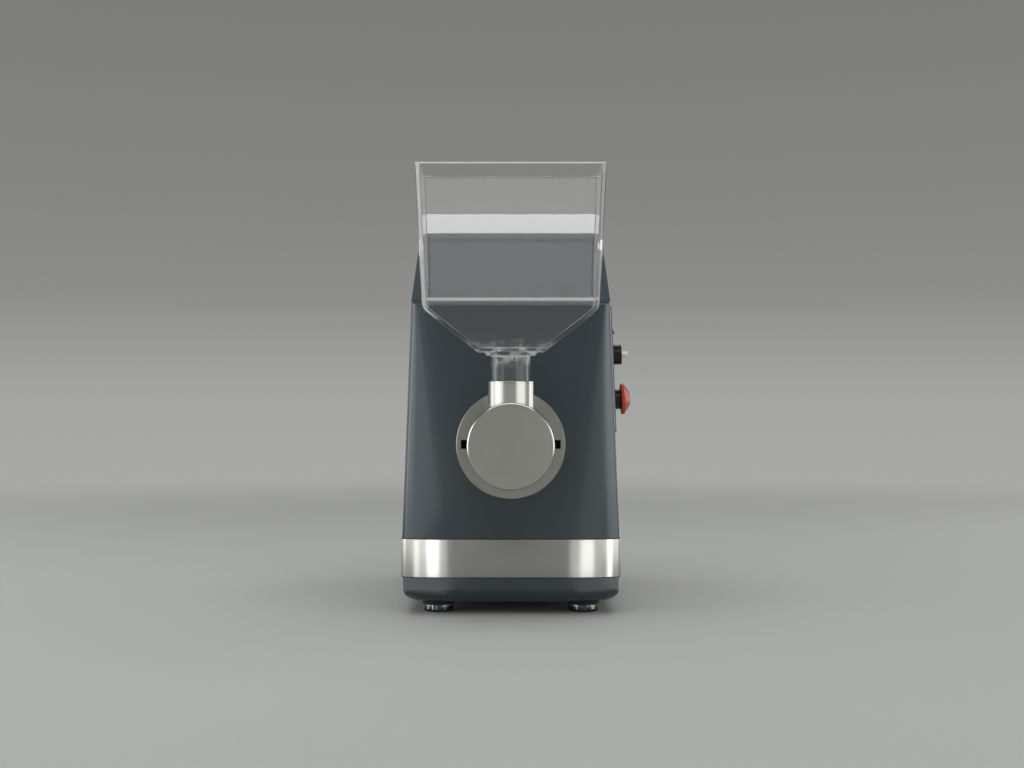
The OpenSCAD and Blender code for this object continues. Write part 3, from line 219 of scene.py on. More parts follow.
def makeSweep():
    # Floor and backdrop in one sheet, so that it looks the same from every side: a flat disc, then
    # a quarter circle, then upright, all carried round Z. Near the machine it is plain paper that
    # takes its shadow; further off it glows with painted greys that darken with height, standing
    # in for the fall of the studio's light, for camera, glossy and transmission rays, and beyond
    # the flat disc for all rays.
    s, turn = studio, np.radians(np.linspace(0, 90, 24))
    disc = np.linspace(0.0, s["flat"], 24)[:-1]
    r = np.concatenate([disc, s["flat"] + s["curve"] * np.sin(turn), [s["flat"] + s["curve"]]])
    z = np.concatenate([np.zeros(len(disc)), s["curve"] * (1 - np.cos(turn)), [s["high"]]])
    points, quads, _ = turnedPatch(np.stack([r, z], -1), lambda grid: grid, 96, flip=True)
    mesh = bpy.data.meshes.new("sweep")
    mesh.from_pydata(points.tolist(), [], quads.tolist())
    bm = bmesh.new()
    bm.from_mesh(mesh)
    bmesh.ops.remove_doubles(bm, verts=bm.verts, dist=1e-5)
    bm.to_mesh(mesh)
    bm.free()
    mesh.polygons.foreach_set("use_smooth", np.ones(len(mesh.polygons), bool))
    obj = bpy.data.objects.new("sweep", mesh)
    bpy.context.scene.collection.objects.link(obj)
    mat, tree, shader, coords = newMaterial("studioPaper", Roughness=0.8, Specular_IOR_Level=0.2)
    # fibres 3 mm apart, coarser than the paper's own, so that they show
    fibre = add(tree, "TexNoise", {"Vector": coords, "Scale": 350.0, "Detail": 2.0})["Fac"]
    add(tree, "ValToRGB", {"Fac": fibre}, drift(s["floor"], 0.98, 1.0), shader.inputs["Base Color"])
    height = add(tree, "SeparateXYZ", {"Vector": coords})["Z"]
    tone = add(tree, "MapRange", {"Value": height, "From Max": s["tall"]})["Result"]
    # painted light: greys that darken with height, which the far sheet glows with
    wall = add(tree, "ValToRGB", {"Fac": tone}, [(place, srgb(grey)) for place, grey in s["wall"]])["Color"]
    glow = add(tree, "Emission", {"Color": wall})["Emission"]
    away = add(tree, "VectorMath", {0: coords}, operation="LENGTH")["Value"]
    fade = add(tree, "MapRange", {"Value": away, "From Min": s["fade"][0], "From Max": s["fade"][1]},
               interpolation_type="SMOOTHSTEP")["Result"]
    seen = add(tree, "Math", {0: away, 1: s["flat"]}, operation="GREATER_THAN")[0]
    path = add(tree, "LightPath")
    for kind in ("Is Camera Ray", "Is Glossy Ray", "Is Transmission Ray"):
        seen = add(tree, "Math", {0: seen, 1: path[kind]}, operation="MAXIMUM")[0]
    share = add(tree, "Math", {0: seen, 1: fade}, operation="MULTIPLY")[0]
    add(tree, "MixShader", {0: share, 1: shader.outputs[0], 2: glow},
        to=tree.nodes["Material Output"].inputs["Surface"])
    mesh.materials.append(mat)


def trackTo(way):  # turns a lamp's -Z axis along a direction, its long side upright
    flat = math.hypot(way[0], way[1])
    return (math.atan2(flat, -way[2]), 0, math.atan2(-way[0], way[1]))


def softbox(name, place, aim, size, level, only=None, colour="#ffffff", **seenBy):
    # A rectangular lamp of an even brightness level: its watts are level x area x pi. only limits
    # it to the pieces of a group; seenBy says which kinds of rays see it, all but the camera's and
    # those through the clear hopper unless it says otherwise.
    data = bpy.data.lights.new(name, "AREA")
    data.shape = "RECTANGLE"
    data.size, data.size_y = size
    data.color = srgb(colour)[:3]
    data.energy = level * size[0] * size[1] * math.pi
    obj = bpy.data.objects.new(name, data)
    obj.location = place
    obj.rotation_euler = trackTo(np.array(aim, float) - np.array(place, float))
    obj.visible_camera = obj.visible_transmission = False
    for key, value in seenBy.items():
        setattr(obj, "visible_" + key, value)
    if only:
        obj.light_linking.receiver_collection = only
    bpy.context.scene.collection.objects.link(obj)
    return obj


def card(name, side, start, end, level, only, away, low=0.004, high=0.62, roll=0.0, at=(115, 1.1),
         colour="#ffffff"):
    # An upright softbox close in front of one corner of the body, or of what stands at (x, y) in
    # the drawing, seen only as a reflection: it fills the directions from start to end degrees
    # away from straight ahead, to the left where they are below zero. side is -1 for the left
    # corner and 1 for the right one; roll leans the upper end outwards.
    turn, half = math.radians((start + end) / 2), math.radians(abs(end - start) / 2)
    corner = metres((side * at[0], at[1], 0))[:2]
    place = (corner[0] + away * math.sin(turn), corner[1] - away * math.cos(turn), (low + high) / 2)
    size = (2 * away * math.tan(half), high - low)
    obj = softbox(name, place, (*corner, place[2]), size, level, only, colour, diffuse=False)
    obj.rotation_euler.rotate_axis("Z", math.radians(roll))


def newGroup(name):  # pieces that have lamps of their own
    group = bpy.data.collections.new(name)
    bpy.context.scene.collection.children.link(group)
    return group


makeSweep()
# The painted skins, the band, the tray, the cap, the inlet tube, the control plate, the feet, and
# every surface except the clear hopper
coated, banded, based, rimmed, tubed, plated, footed, opaque = (newGroup(name) for name in (
    "coatedSheet", "brushedSheet", "traySheet", "turnedCap", "inletTube", "switchPlate", "turnedFeet",
    "allButClear"))
plated.objects.link(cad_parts["control_panel"])
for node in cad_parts.values():
    opaque.objects.link(node)

middle, noShine, shineOnly = (0, 0, 0.28), {"glossy": False}, {"diffuse": False}
lamps = {
    "room": {  # place and aim, width and height, all in metres, level, and what differs
        # the key's reflection is a lamp of its own, kept off the hopper, whose panels it would whiten
        "leftKey": ((-1.85, -0.8, 0.6), middle, (0.75, 1.3), 2.4, noShine),
        "leftKeyShine": ((-1.83, -0.79, 0.6), middle, (0.75, 1.3), 2.4, {"only": opaque, **shineOnly}),
        "leftFront": ((-1.44, -1.39, 0.6), middle, (0.6, 1.3), 1.0, {}),
        "leftRim": ((-1.91, 0.59, 0.6), middle, (1.6, 1.3), 1.1, {}),
        "rightKey": ((1.53, -1.29, 0.6), middle, (1.75, 1.3), 1.0, {}),
        "rightRim": ((1.77, 0.94, 0.6), middle, (0.9, 1.3), 2.0, {}),
        "frontHigh": ((0.0, -2.1, 2.22), (0, -0.2, 0.45), (2.8, 0.9), 1.3, {"transmission": True}),
        "overhead": ((0.0, -0.1, 2.9), middle, (2.8, 2.4), 1.9, noShine),
        "backTop": ((0.0, 1.9, 2.3), (0, 0.0, 0.5), (2.6, 1.2), 2.4, shineOnly)},
    "corners": {  # cards by the body: corner, from and to in degrees, level, group, metres away, roll
        "leftSheen": (-1, -4, -75, 1.15, coated, 0.5, 10),
        "rightSheen": (1, 4.5, 31, 0.55, coated, 0.4, -10),
        "rightSide": (1, 35, 95, 1.4, coated, 0.4, -6),
        "leftBase": (-1, -4, -40, 1.1, banded, 0.5, 0),
        "leftFar": (-1, -40, -75, 0.25, banded, 0.5, 0),
        "rightBase": (1, 4, 31, 0.5, banded, 0.4, 0),
        "rightFar": (1, 35, 95, 0.9, banded, 0.4, 0)},
    "coatedTint": "#ecf8fb",
    "band": {  # cards 60 mm off the band: corner, from and to in degrees, level, upper end in metres
        "leftLine": (-1, 17, -8, 2.2, 0.13), "leftGlow": (-1, 33, 18, 0.6, 0.13),
        "leftGap": (-1, -9, -24, 0.4, 0.13), "leftEdge": (-1, -25, -39, 1.3, 0.13),
        "leftLow": (-1, 17, -39, 0.25, 0.045), "rightLine": (1, -22, 6, 1.7, 0.13),
        "rightGlow": (1, -40, -23, 0.6, 0.13), "rightGap": (1, 7, 24, 0.28, 0.13),
        "rightEdge": (1, 38, 54, 2.3, 0.13), "rightLow": (1, -22, 54, 0.2, 0.045)},
    "bandAway": 0.06,
    "feet": {  # cards 35 mm off the front feet: side, from and to in degrees, level
        "footLeftSide": (-1, -56, -69, 2.6), "footLeftCorner": (-1, -26, -34, 3.0),
        "footLeftFront": (-1, -6, -11, 1.5), "footLeftInner": (-1, 37, 45, 0.8),
        "footRightInner": (1, -38, -45, 2.2), "footRightSide": (1, 46, 72, 2.4)},
    "feetAt": {"away": 0.035, "low": 0.0003, "high": 0.012, "at": (92.9, 46.5)},
    "floor": {  # light from the floor up to the tray: x and y, width and depth in metres, level
        "leftFloor": (-0.146, -0.48, 0.108, 0.54, 0.95),
        "leftFloorNear": (-0.146, -0.195, 0.108, 0.03, 0.55),
        "leftFloorEdge": (-0.146, -0.171, 0.108, 0.018, 0.25),
        "leftSideNear": (-0.185, -0.03, 0.03, 0.36, 0.55),
        "rightFloorNear": (0.14, -0.195, 0.12, 0.03, 0.35),
        "rightSideNear": (0.185, -0.03, 0.03, 0.36, 0.6),
        "leftFloorSide": (-0.45, -0.3, 0.5, 0.9, 0.95),
        "rightFloor": (0.14, -0.48, 0.12, 0.54, 0.6),
        "rightFloorSide": (0.45, -0.3, 0.5, 0.9, 1.1)},
    "floorHigh": 0.001,
    "plate": (1, -2, 12, 1.8, plated, 0.4),  # the control plate's card, as one of the corners
    "head": {  # for the cap's rim and the inlet tube's edge: as in the room, then the group
        "capTop": ((0.0, -0.35, 1.2), (0, -0.22, 0.3), (1.2, 0.5), 4.0, rimmed),
        "capLeft": ((-0.9, -0.3, 0.25), (0, -0.22, 0.22), (0.35, 0.8), 3.0, rimmed),
        "capRight": ((0.9, -0.3, 0.25), (0, -0.22, 0.22), (0.35, 0.8), 3.0, rimmed),
        "tubeEdge": (metres((60, -12, 280)), metres((20, -40, 280)), (0.028, 0.06), 1.15, tubed)},
    "air": "#8c8e8b"}
for name, (*box, more) in lamps["room"].items():
    softbox(name, *box, **more)
for name, (side, start, end, level, only, away, roll) in lamps["corners"].items():
    colour = lamps["coatedTint"] if only == coated else "#ffffff"
    card(name, side, start, end, level, only, away, roll=roll, colour=colour)
for name, (side, start, end, level, high) in lamps["band"].items():
    card(name, side, start, end, level, banded, lamps["bandAway"], high=high)
for name, where in lamps["feet"].items():
    card(name, *where, footed, **lamps["feetAt"])
for name, (x, y, wide, deep, level) in lamps["floor"].items():
    softbox(name, (x, y, lamps["floorHigh"]), (x, y, 1), (wide, deep), level, based, **shineOnly)
card("rightPlate", *lamps["plate"])
for name, box in lamps["head"].items():
    softbox(name, *box, **shineOnly)
world = bpy.data.worlds.new("studioAir")
world.use_nodes = True
air = world.node_tree.nodes["Background"].inputs
air["Color"].default_value, air["Strength"].default_value = srgb(lamps["air"]), 1.0
bpy.context.scene.world = world
print("camera, floor and lamps set")


def finish(tree, shader, pattern, colour, tones, rough, humps, deep):
    # What every opaque finish has: its tone drifts with a pattern between two factors of the
    # colour, its roughness between two values, and humps of that depth in metres break its gloss
    add(tree, "ValToRGB", {"Fac": pattern}, drift(colour, *tones), shader.inputs["Base Color"])
    add(tree, "MapRange", {"Value": pattern, "To Min": rough[0], "To Max": rough[1]},
        to=shader.inputs["Roughness"])
    add(tree, "Bump", {"Height": humps, "Distance": deep}, to=shader.inputs["Normal"])


def paintedMetal(name, colour, rough, grain=0.9):
    # Powder coat on sheet steel: baked on, so the skin has a fine orange peel of grain mm, as on
    # the real one, that spreads its gloss, and the tone drifts a little over some 110 mm
    mat, tree, shader, coords = newMaterial(name, Specular_IOR_Level=0.5, Coat_Weight=0.5,
                                            Coat_Roughness=0.14)
    cloud = add(tree, "TexNoise", {"Vector": coords, "Scale": 9.0, "Detail": 3.0})["Fac"]
    peel = add(tree, "TexNoise", {"Vector": coords, "Scale": 1000 / grain, "Detail": 2.0})["Fac"]
    finish(tree, shader, cloud, colour, (0.95, 1.05), (rough - 0.03, rough + 0.03), peel, 0.000012)
    return mat


def brushedSteel(name, colour, rough, anisotropy, alongUv=False):
    # Stainless sheet drawn over a fine belt: highlights spread across the scratches and stay
    # narrow along them. Scratches 0.4 mm apart are coarser than a belt's, so that they show, and
    # 170 mm long along the band's map, or 125 mm upright without one.
    mat, tree, shader, coords = newMaterial(name, Metallic=1.0, Anisotropic=anisotropy)
    size = (2600, 2600, 8)
    if alongUv:
        shader.inputs["Anisotropic Rotation"].default_value = 0.25
        coords, size = add(tree, "TexCoord")["UV"], (6, 2600, 1)
        add(tree, "Tangent", direction_type="UV_MAP", uv_map="UVMap", to=shader.inputs["Tangent"])
    stretched = add(tree, "Mapping", {"Vector": coords, "Scale": size})["Vector"]
    lines = add(tree, "TexNoise", {"Vector": stretched, "Scale": 1.0, "Detail": 3.0})["Fac"]
    finish(tree, shader, lines, colour, (0.93, 1.0), (rough - 0.04, rough + 0.05), lines, 0.000004)
    return mat


# Painted shade in the flange's slots: in mm behind the body's front face, and from the head's axis; dark is
# what is left of the colour
headSlotShade = {"start": -11.5, "over": 4, "within": 66.5, "dark": 0.02}


def turnedSteel(name, colour, rough, slotShade=None, polishedFrom=None):
    # Stainless steel faced on a lathe and bead blasted: faint rings and a matte grain that make
    # one even grey, drifting over 30 mm. Rings of 0.5 mm and grain of 0.4 mm are about three
    # times as coarse as the real ones, so that they show.
    mat, tree, shader, coords = newMaterial(name, Metallic=1.0, Anisotropic=0.25)
    axis = metres((0, 0, headZ))
    local = add(tree, "Mapping", {"Vector": coords, "Location": (-axis[0], 0, -axis[2]),
                                  "Scale": (1, 0, 1)})["Vector"]
    radius = add(tree, "VectorMath", {0: local}, operation="LENGTH")["Value"]
    rings = add(tree, "TexNoise", {"W": radius, "Scale": 2000.0, "Detail": 2.0}, noise_dimensions="1D")["Fac"]
    grit = add(tree, "TexNoise", {"Vector": coords, "Scale": 2500.0, "Detail": 1.0})["Fac"]
    cloud = add(tree, "TexNoise", {"Vector": coords, "Scale": 35.0, "Detail": 3.0})["Fac"]
    tone = add(tree, "ValToRGB", {"Fac": cloud}, drift(colour, 0.96, 1.0))["Color"]
    if slotShade:  # painted shade down in the slots, darkening them almost to black
        depth = add(tree, "SeparateXYZ", {"Vector": coords})["Y"]
        start = metres((0, slotShade["start"], 0))[1]
        shadeDepth = add(tree, "MapRange", {"Value": depth, "From Min": start,
                                      "From Max": start + slotShade["over"] / 1000})["Result"]
        within = add(tree, "Math", {0: radius, 1: slotShade["within"] / 1000}, operation="LESS_THAN")[0]
        share = add(tree, "Math", {0: shadeDepth, 1: within}, operation="MULTIPLY")[0]
        dark = add(tree, "ValToRGB", {"Fac": share}, [(0, (1, 1, 1, 1)), (1, (*[slotShade["dark"]] * 3, 1))])
        tone = add(tree, "VectorMath", {0: tone, 1: dark["Color"]}, operation="MULTIPLY")["Vector"]
    tree.links.new(tone, shader.inputs["Base Color"])
    gloss = add(tree, "MapRange", {"Value": rings, "To Min": rough - 0.03, "To Max": rough + 0.03})["Result"]
    if polishedFrom:  # the rim beyond that radius in mm is polished
        rim = add(tree, "MapRange", {"Value": radius, "From Min": polishedFrom / 1000, "To Min": 1.0,
                                     "From Max": (polishedFrom + 1) / 1000, "To Max": 0.45})["Result"]
        gloss = add(tree, "Math", {0: gloss, 1: rim}, operation="MULTIPLY")[0]
    tree.links.new(gloss, shader.inputs["Roughness"])
    lathed = add(tree, "Bump", {"Height": rings, "Distance": 0.000003})["Normal"]
    add(tree, "Bump", {"Height": grit, "Distance": 0.000006, "Normal": lathed}, to=shader.inputs["Normal"])
    return mat


def mouldedPlastic(name, colour, rough, grain=0.35, deep=0.00001):
    # Moulded nylon, ABS or rubber: the mould's spark-eroded grain dulls the gloss, and both drift
    # over 17 mm. grain in mm is about three times as coarse as a mould's, so that it shows.
    mat, tree, shader, coords = newMaterial(name, Base_Color=srgb(colour), Specular_IOR_Level=0.5)
    sparks = add(tree, "TexNoise", {"Vector": coords, "Scale": 1000 / grain, "Detail": 2.0})["Fac"]
    cloud = add(tree, "TexNoise", {"Vector": coords, "Scale": 60.0, "Detail": 2.0})["Fac"]
    finish(tree, shader, cloud, colour, (0.9, 1.08), (rough - 0.04, rough + 0.05), sparks, deep)
    return mat


def plainMetal(name, colour, rough):
    # Cast or machined metal inside the body: a grey in patches of 25 mm, with the fine rough skin
    # of a casting, its humps 1.2 mm apart
    mat, tree, shader, coords = newMaterial(name, Metallic=0.9)
    patchy = add(tree, "TexNoise", {"Vector": coords, "Scale": 40.0, "Detail": 5.0})["Fac"]
    humps = add(tree, "TexNoise", {"Vector": coords, "Scale": 1000 / 1.2})["Fac"]
    finish(tree, shader, patchy, colour, (0.8, 1.0), (rough - 0.06, rough + 0.06), humps, 0.00002)
    return mat


def clearAcrylic(name):
    # Cast acrylic sheet, flame polished: clear face on, with a faint waviness 11 mm across and 33
    # high. Edge on, light that runs along inside the sheet comes out and whitens it. An attribute
    # of the piece frosts the bent line, the sawn edges and, in blotches of 9 mm, the glue. The
    # seams' frost is partly a painted highlight, stronger on the left, where the light comes from.
    mat, tree, shader, coords = newMaterial(name, Base_Color=srgb("#fafafa"), IOR=1.49, Roughness=0.0,
                                            Transmission_Weight=1.0, Specular_IOR_Level=0.5)
    stretched = add(tree, "Mapping", {"Vector": coords, "Scale": (18, 18, 6)})["Vector"]
    wipes = add(tree, "TexNoise", {"Vector": stretched, "Detail": 4.0})["Fac"]
    add(tree, "Bump", {"Height": wipes, "Distance": 0.00004}, to=shader.inputs["Normal"])
    facing = add(tree, "LayerWeight", {"Blend": 0.5})["Facing"]
    edgeOn = add(tree, "MapRange", {"Value": facing, "From Min": 0.87, "From Max": 0.98, "To Max": 0.28},
                 interpolation_type="SMOOTHSTEP")["Result"]
    marks = add(tree, "Attribute", attribute_name="frost")["Vector"]
    marks = add(tree, "SeparateXYZ", {"Vector": marks})
    uneven = add(tree, "TexNoise", {"Vector": coords, "Scale": 110.0, "Detail": 2.0})["Fac"]
    blotch = add(tree, "MapRange", {"Value": uneven, "From Min": 0.46, "From Max": 0.62})["Result"]
    glue = add(tree, "Math", {0: marks["Y"], 1: blotch}, operation="MULTIPLY")[0]
    grainy = add(tree, "MapRange", {"Value": uneven, "To Min": 0.8, "To Max": 1.2})["Result"]
    frost = add(tree, "Math", {0: marks["X"], 1: grainy}, operation="MULTIPLY")[0]
    frost = add(tree, "Math", {0: frost, 1: glue}, operation="MAXIMUM")[0]
    share = add(tree, "Math", {0: edgeOn, 1: frost}, operation="MAXIMUM")[0]
    milky = {"Color": srgb("#f2f3f1")}
    white = add(tree, "MixShader", {0: 0.5, 1: add(tree, "BsdfDiffuse", milky)[0],
                                    2: add(tree, "BsdfTranslucent", milky)[0]})[0]
    add(tree, "MixShader", {0: share, 1: shader.outputs[0], 2: white},
        to=tree.nodes["Material Output"].inputs["Surface"])
    return mat


def dress(mat, names):  # gives CAD nodes a material, in every slot
    for name in names.split():
        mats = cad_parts[name].data.materials
        for i in range(len(mats)):
            mats[i] = mat
    return mat


slatePaint = dress(paintedMetal("slatePowderCoat", "#25333a", 0.25),
                   "body_shell base_tray rear_cover control_panel")
dress(paintedMetal("motorEnamel", "#43525f", 0.45, 1.4),
      "motor_shell motor_front_bell motor_rear_bell fan_cowl terminal_box")
bandSteel = dress(brushedSteel("beltBrushedStainless", "#b4b4af", 0.29, 0.9, alongUv=True), "trim_band")
tubeSteel = dress(brushedSteel("polishedStainlessTube", "#d6d6d0", 0.22, 0.3), "inlet_tube")
dress(turnedSteel("blastedStainless", "#b0b0aa", 0.40, slotShade=headSlotShade), "mounting_flange grinder_housing")
capSteel = dress(turnedSteel("blastedStainlessCap", "#b6b6b0", 0.40, polishedFrom=50.2), "front_cap")
dress(plainMetal("machinedSteel", "#8f9294", 0.35),
      "main_shaft front_bearing rear_bearing motor_bearings motor_stator motor_rotor front_coupling "
      "rear_coupling feed_screw fixed_burr turning_burr chassis_plate bulkhead motor_cradle")
dress(plainMetal("brightZinc", "#b9bab6", 0.28),
      "cover_screws chassis_bolts bearing_bolts flange_bolts head_screws burr_nut foot_bolts")
dress(plainMetal("castIron", "#6c7074", 0.55), "bearing_housing")
dress(plainMetal("lacqueredCopper", "#a8552b", 0.32), "motor_windings")
dress(plainMetal("platedBrass", "#c8a95a", 0.3), "inlet_pins")
# The feet's nickel is a dark grey: painted shade, standing in for the shadow under the machine that the feet
# reflect
shadowDarkNickel = dress(plainMetal("shadowDarkNickelFoot", "#626466", 0.12), "feet")
dress(mouldedPlastic("blackNylon", "#0e0e10", 0.33),
      "switch_body switch_rocker reset_body estop_body power_inlet")
dress(mouldedPlastic("darkAbs", "#2b2d2f", 0.5), "estop_contacts estop_stem motor_fan")
dress(mouldedPlastic("paleAbs", "#d2d2cb", 0.45), "contactor start_capacitor")
whiteButton = dress(mouldedPlastic("whiteAbs", "#f6f7f4", 0.25), "reset_button")
redPlastic = dress(mouldedPlastic("redAbs", "#c24b32", 0.34), "estop_head")
blackRubber = dress(mouldedPlastic("blackRubber", "#121212", 0.6, 0.6, 0.00002), "foot_pads shaft_seal")
dress(mouldedPlastic("siliconeRubber", "#a83c2b", 0.5), "cap_seal")
dress(mouldedPlastic("polyurethane", "#c4502e", 0.5), "coupling_spider")
acrylic = dress(clearAcrylic("castAcrylic"),
                "hopper_front_panel hopper_back_panel hopper_sides hopper_collar hopper_tube")
print("materials on", len(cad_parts), "nodes")


skin = {"edge": 2.5, "frontSteps": 20, "cornerSteps": 16, "wall": 3, "straight": 386,
        "rows": [95.5, 127, 150, 175, 205, 235, 255, 285, 315, 345, 365, 383], "roofRows": 12,
        "headHole": (37, 175, 255), "coverHole": (84, 127, 461), "plateHole": (38, 114, 235, 383)}
leanRate = math.tan(math.radians(body["lean"]))
slopeFoot = (body["brow"] - body["shoulder"]) / math.tan(math.radians(body["slope"]))
roofHigh = body["brow"] + math.tan(math.radians(body["topAngle"])) * (body["crest"] - slopeFoot)
roofLine = roundedLine([(0, 0), (0, body["shoulder"]), (slopeFoot, body["brow"]), (body["crest"], roofHigh),
                        (body["depth"], roofHigh), (body["depth"], 0)], [body["bend"]] * 4, 40)[1:-1]


def roofAt(y):  # height of the bent roof line over a distance from the front
    return np.interp(y, roofLine[:, 0], roofLine[:, 1])


def halfWidth(z):
    return body["width"] / 2 - leanRate * np.maximum(0, z - body["bandHigh"])


def cornerAt(z):  # width and depth of the front corner's ellipse at a height
    up = np.clip((z - body["bandHigh"]) / (body["shoulder"] - body["bandHigh"]), 0, 1)
    return (body["cornerLow"] + (body["cornerHigh"] - body["cornerLow"]) * up,
            body["cornerDepth"] + (body["cornerHigh"] - body["cornerDepth"]) * up)


sideYs = np.array([20, 38, 60, 85, 114, *np.linspace(123, 134, 8), 165, *np.linspace(195, 205, 8), 240,
                   290, 335])
theta = np.radians(np.linspace(0, 90, skin["cornerSteps"] + 1))


def flank(z, grow=0.0):
    # Right-hand outline from the front corner to the rear corner at heights z (any shape with a
    # last axis of 1): an elliptical arc, a straight side, a round arc. Gives x, y and how far
    # each point's normal faces sideways.
    w = halfWidth(z) + grow
    a, b = (c + grow for c in cornerAt(z))
    r = body["rearRadius"] + grow
    one = np.ones_like(w)
    x = np.concatenate([w - a + a * np.sin(theta), w * np.ones(len(sideYs)), w - r + r * np.cos(theta)], -1)
    y = np.concatenate([b * (1 - np.cos(theta)) - grow, one * sideYs,
                        one * (body["depth"] + grow - r + r * np.sin(theta))], -1)
    side = np.concatenate([np.sin(theta), np.ones(len(sideYs)), np.cos(theta)])
    return x, y, side


def loopOf(z, across, grow=0.0):
    # Whole outline at heights z [rows, 1]: front face, right side, rear face, left side
    x, y, _ = flank(z, grow)
    front = np.stack([x[:, :1] * across[1:-1], np.broadcast_to(y[:, :1], (len(x), len(across) - 2))], -1)
    back = np.stack([x[:, -1:] * across[-2:0:-1], np.broadcast_to(y[:, -1:], (len(x), len(across) - 2))], -1)
    right = np.stack([x, y], -1)
    left = np.stack([-x, y], -1)[:, ::-1]
    return np.concatenate([front, right, back, left], 1)


across = np.linspace(-1, 1, skin["frontSteps"] + 1)


def makeShellSkin():
    # Walls: each outline point goes straight up its leaning wall to a height that the roof line
    # gives for its distance from the front. Roof: at each such distance, a quarter-circle edge,
    # a straight line across and the other edge.
    straight = skin["straight"]
    x, y, side = flank(np.array([[float(straight)]]))
    top = np.full(y.shape, float(straight))
    for _ in range(5):  # the top's height and its place on the leaning wall depend on each other
        x, y, side = flank(top.reshape(-1, 1))
        x, y = (np.diagonal(v)[None] for v in (x, y))
        top = roofAt(y) - skin["edge"] * side
    x, y, top = x[0], y[0], top[0]
    m, n = len(top), len(across) - 2
    topLoop = np.concatenate([np.full(n, top[0]), top, np.full(n, top[-1]), top[::-1]])
    low = np.array([body["joint"], *skin["rows"], straight])
    share = np.linspace(0, 1, skin["roofRows"] + 1)[1:]
    z = np.concatenate([np.broadcast_to(low[:, None], (len(low), len(topLoop))),
                        straight + share[:, None] * (topLoop - straight)])
    column = np.arange(z.shape[1])
    plan = np.stack([loopOf(row.reshape(-1, 1), across)[column, column] for row in z])
    walls = np.concatenate([plan, z[..., None]], -1)
    # Openings: behind the head, under the rear cover, and under the control plate
    keep = np.ones((len(z) - 1, len(column)), bool)
    zr = (z[:-1, :] + z[1:, :]) / 2
    mid = (walls[:-1] + np.roll(walls, -1, 1)[1:]) / 2
    front = column < n - 1
    sideward = (column >= n) & (column < n + m)
    back = (column >= n + m) & (column < 2 * n + m - 1)
    for face, (half, zLow, zHigh) in ((front, skin["headHole"]), (back, skin["coverHole"])):
        keep &= ~(face & (np.abs(mid[..., 0]) < half) & (zr > zLow) & (zr < zHigh))
    yLow, yHigh, zLow, zHigh = skin["plateHole"]
    keep &= ~(sideward & (mid[..., 1] > yLow) & (mid[..., 1] < yHigh) & (zr > zLow) & (zr < zHigh))
    edge = np.radians(np.linspace(0, 90, 7))
    reach = skin["edge"] * side[:, None]
    ex = x[:, None] - reach * (1 - np.cos(edge))
    ez = top[:, None] + reach * np.sin(edge)
    flat = (x - reach[:, 0])[:, None] * across[None, ::-1][:, 1:-1]
    rowX = np.concatenate([ex, flat, -ex[:, ::-1]], 1)
    rowZ = np.concatenate([ez, np.broadcast_to(ez[:, -1:], flat.shape), ez[:, ::-1]], 1)
    roof = np.stack([rowX, np.broadcast_to(y[:, None], rowX.shape), rowZ], -1)
    obj = newPiece("shellSkin", [patch(walls, keep=keep), patch(roof, around=False)], slatePaint, "body",
                   ["body_shell"], 24, lampsFor=[coated])
    thicken(obj, skin["wall"])


tray = {"roundWide": 21, "roundHigh": 19.5, "wall": 3, "steps": 14, "frontEase": 0.5, "rearEase": 0.3}


def makeTraySkin():
    # Rings: along the bottom edge a quarter ellipse moves the outline in and down, above it the
    # outline goes straight up. The bottom is the lowest ring drawn in to a line.
    t = tray
    g = np.radians(np.linspace(0, 90, t["steps"] + 1))
    inset = np.append(t["roundWide"] * (1 - np.sin(g)), 0)
    z = np.append(body["gap"] + t["roundHigh"] * (1 - np.cos(g)), body["joint"])
    rings, ax = [], across[1:-1]
    for d in inset:
        w, a = body["width"] / 2 - d, body["cornerLow"]
        b, r = body["cornerDepth"] + t["frontEase"] * d, body["rearRadius"] + t["rearEase"] * d
        x = np.concatenate([w - a + a * np.sin(theta), np.full(len(sideYs), w), w - r + r * np.cos(theta)])
        y0, y1 = d, body["depth"] - d
        y = np.concatenate([y0 + b * (1 - np.cos(theta)), np.linspace(y0 + b, y1 - r, len(sideYs) + 2)[1:-1],
                            y1 - r + r * np.sin(theta)])
        rings.append(np.concatenate([
            np.stack([x[0] * ax, np.full(len(ax), y[0])], -1), np.stack([x, y], -1),
            np.stack([x[-1] * ax[::-1], np.full(len(ax), y[-1])], -1), np.stack([-x, y], -1)[::-1]]))
    high = np.broadcast_to(z[:, None, None], (len(z), len(rings[0]), 1))
    grid = np.concatenate([np.stack(rings), high], -1)
    m, n = len(sideYs) + 2 * len(theta), len(ax)
    right = grid[0, n:n + m]
    bottom = right[:, None] * np.stack([across[::-1], np.ones_like(across), np.ones_like(across)], -1)
    obj = newPiece("traySkin", [patch(grid), patch(bottom, around=False, flip=True)], slatePaint, "body",
                   ["base_tray"], 24, lampsFor=[coated, based])
    thicken(obj, t["wall"])


def bandLoops(section):  # the outline at the band, grown and raised as each point of a section says
    level, fine = np.array([[60.0]]), np.linspace(-1, 1, 41)
    return np.stack([np.insert(loopOf(level, fine, grow)[0], 2, z, axis=1) for grow, z in section])


band = {"thick": 1.4, "edge": 0.45}


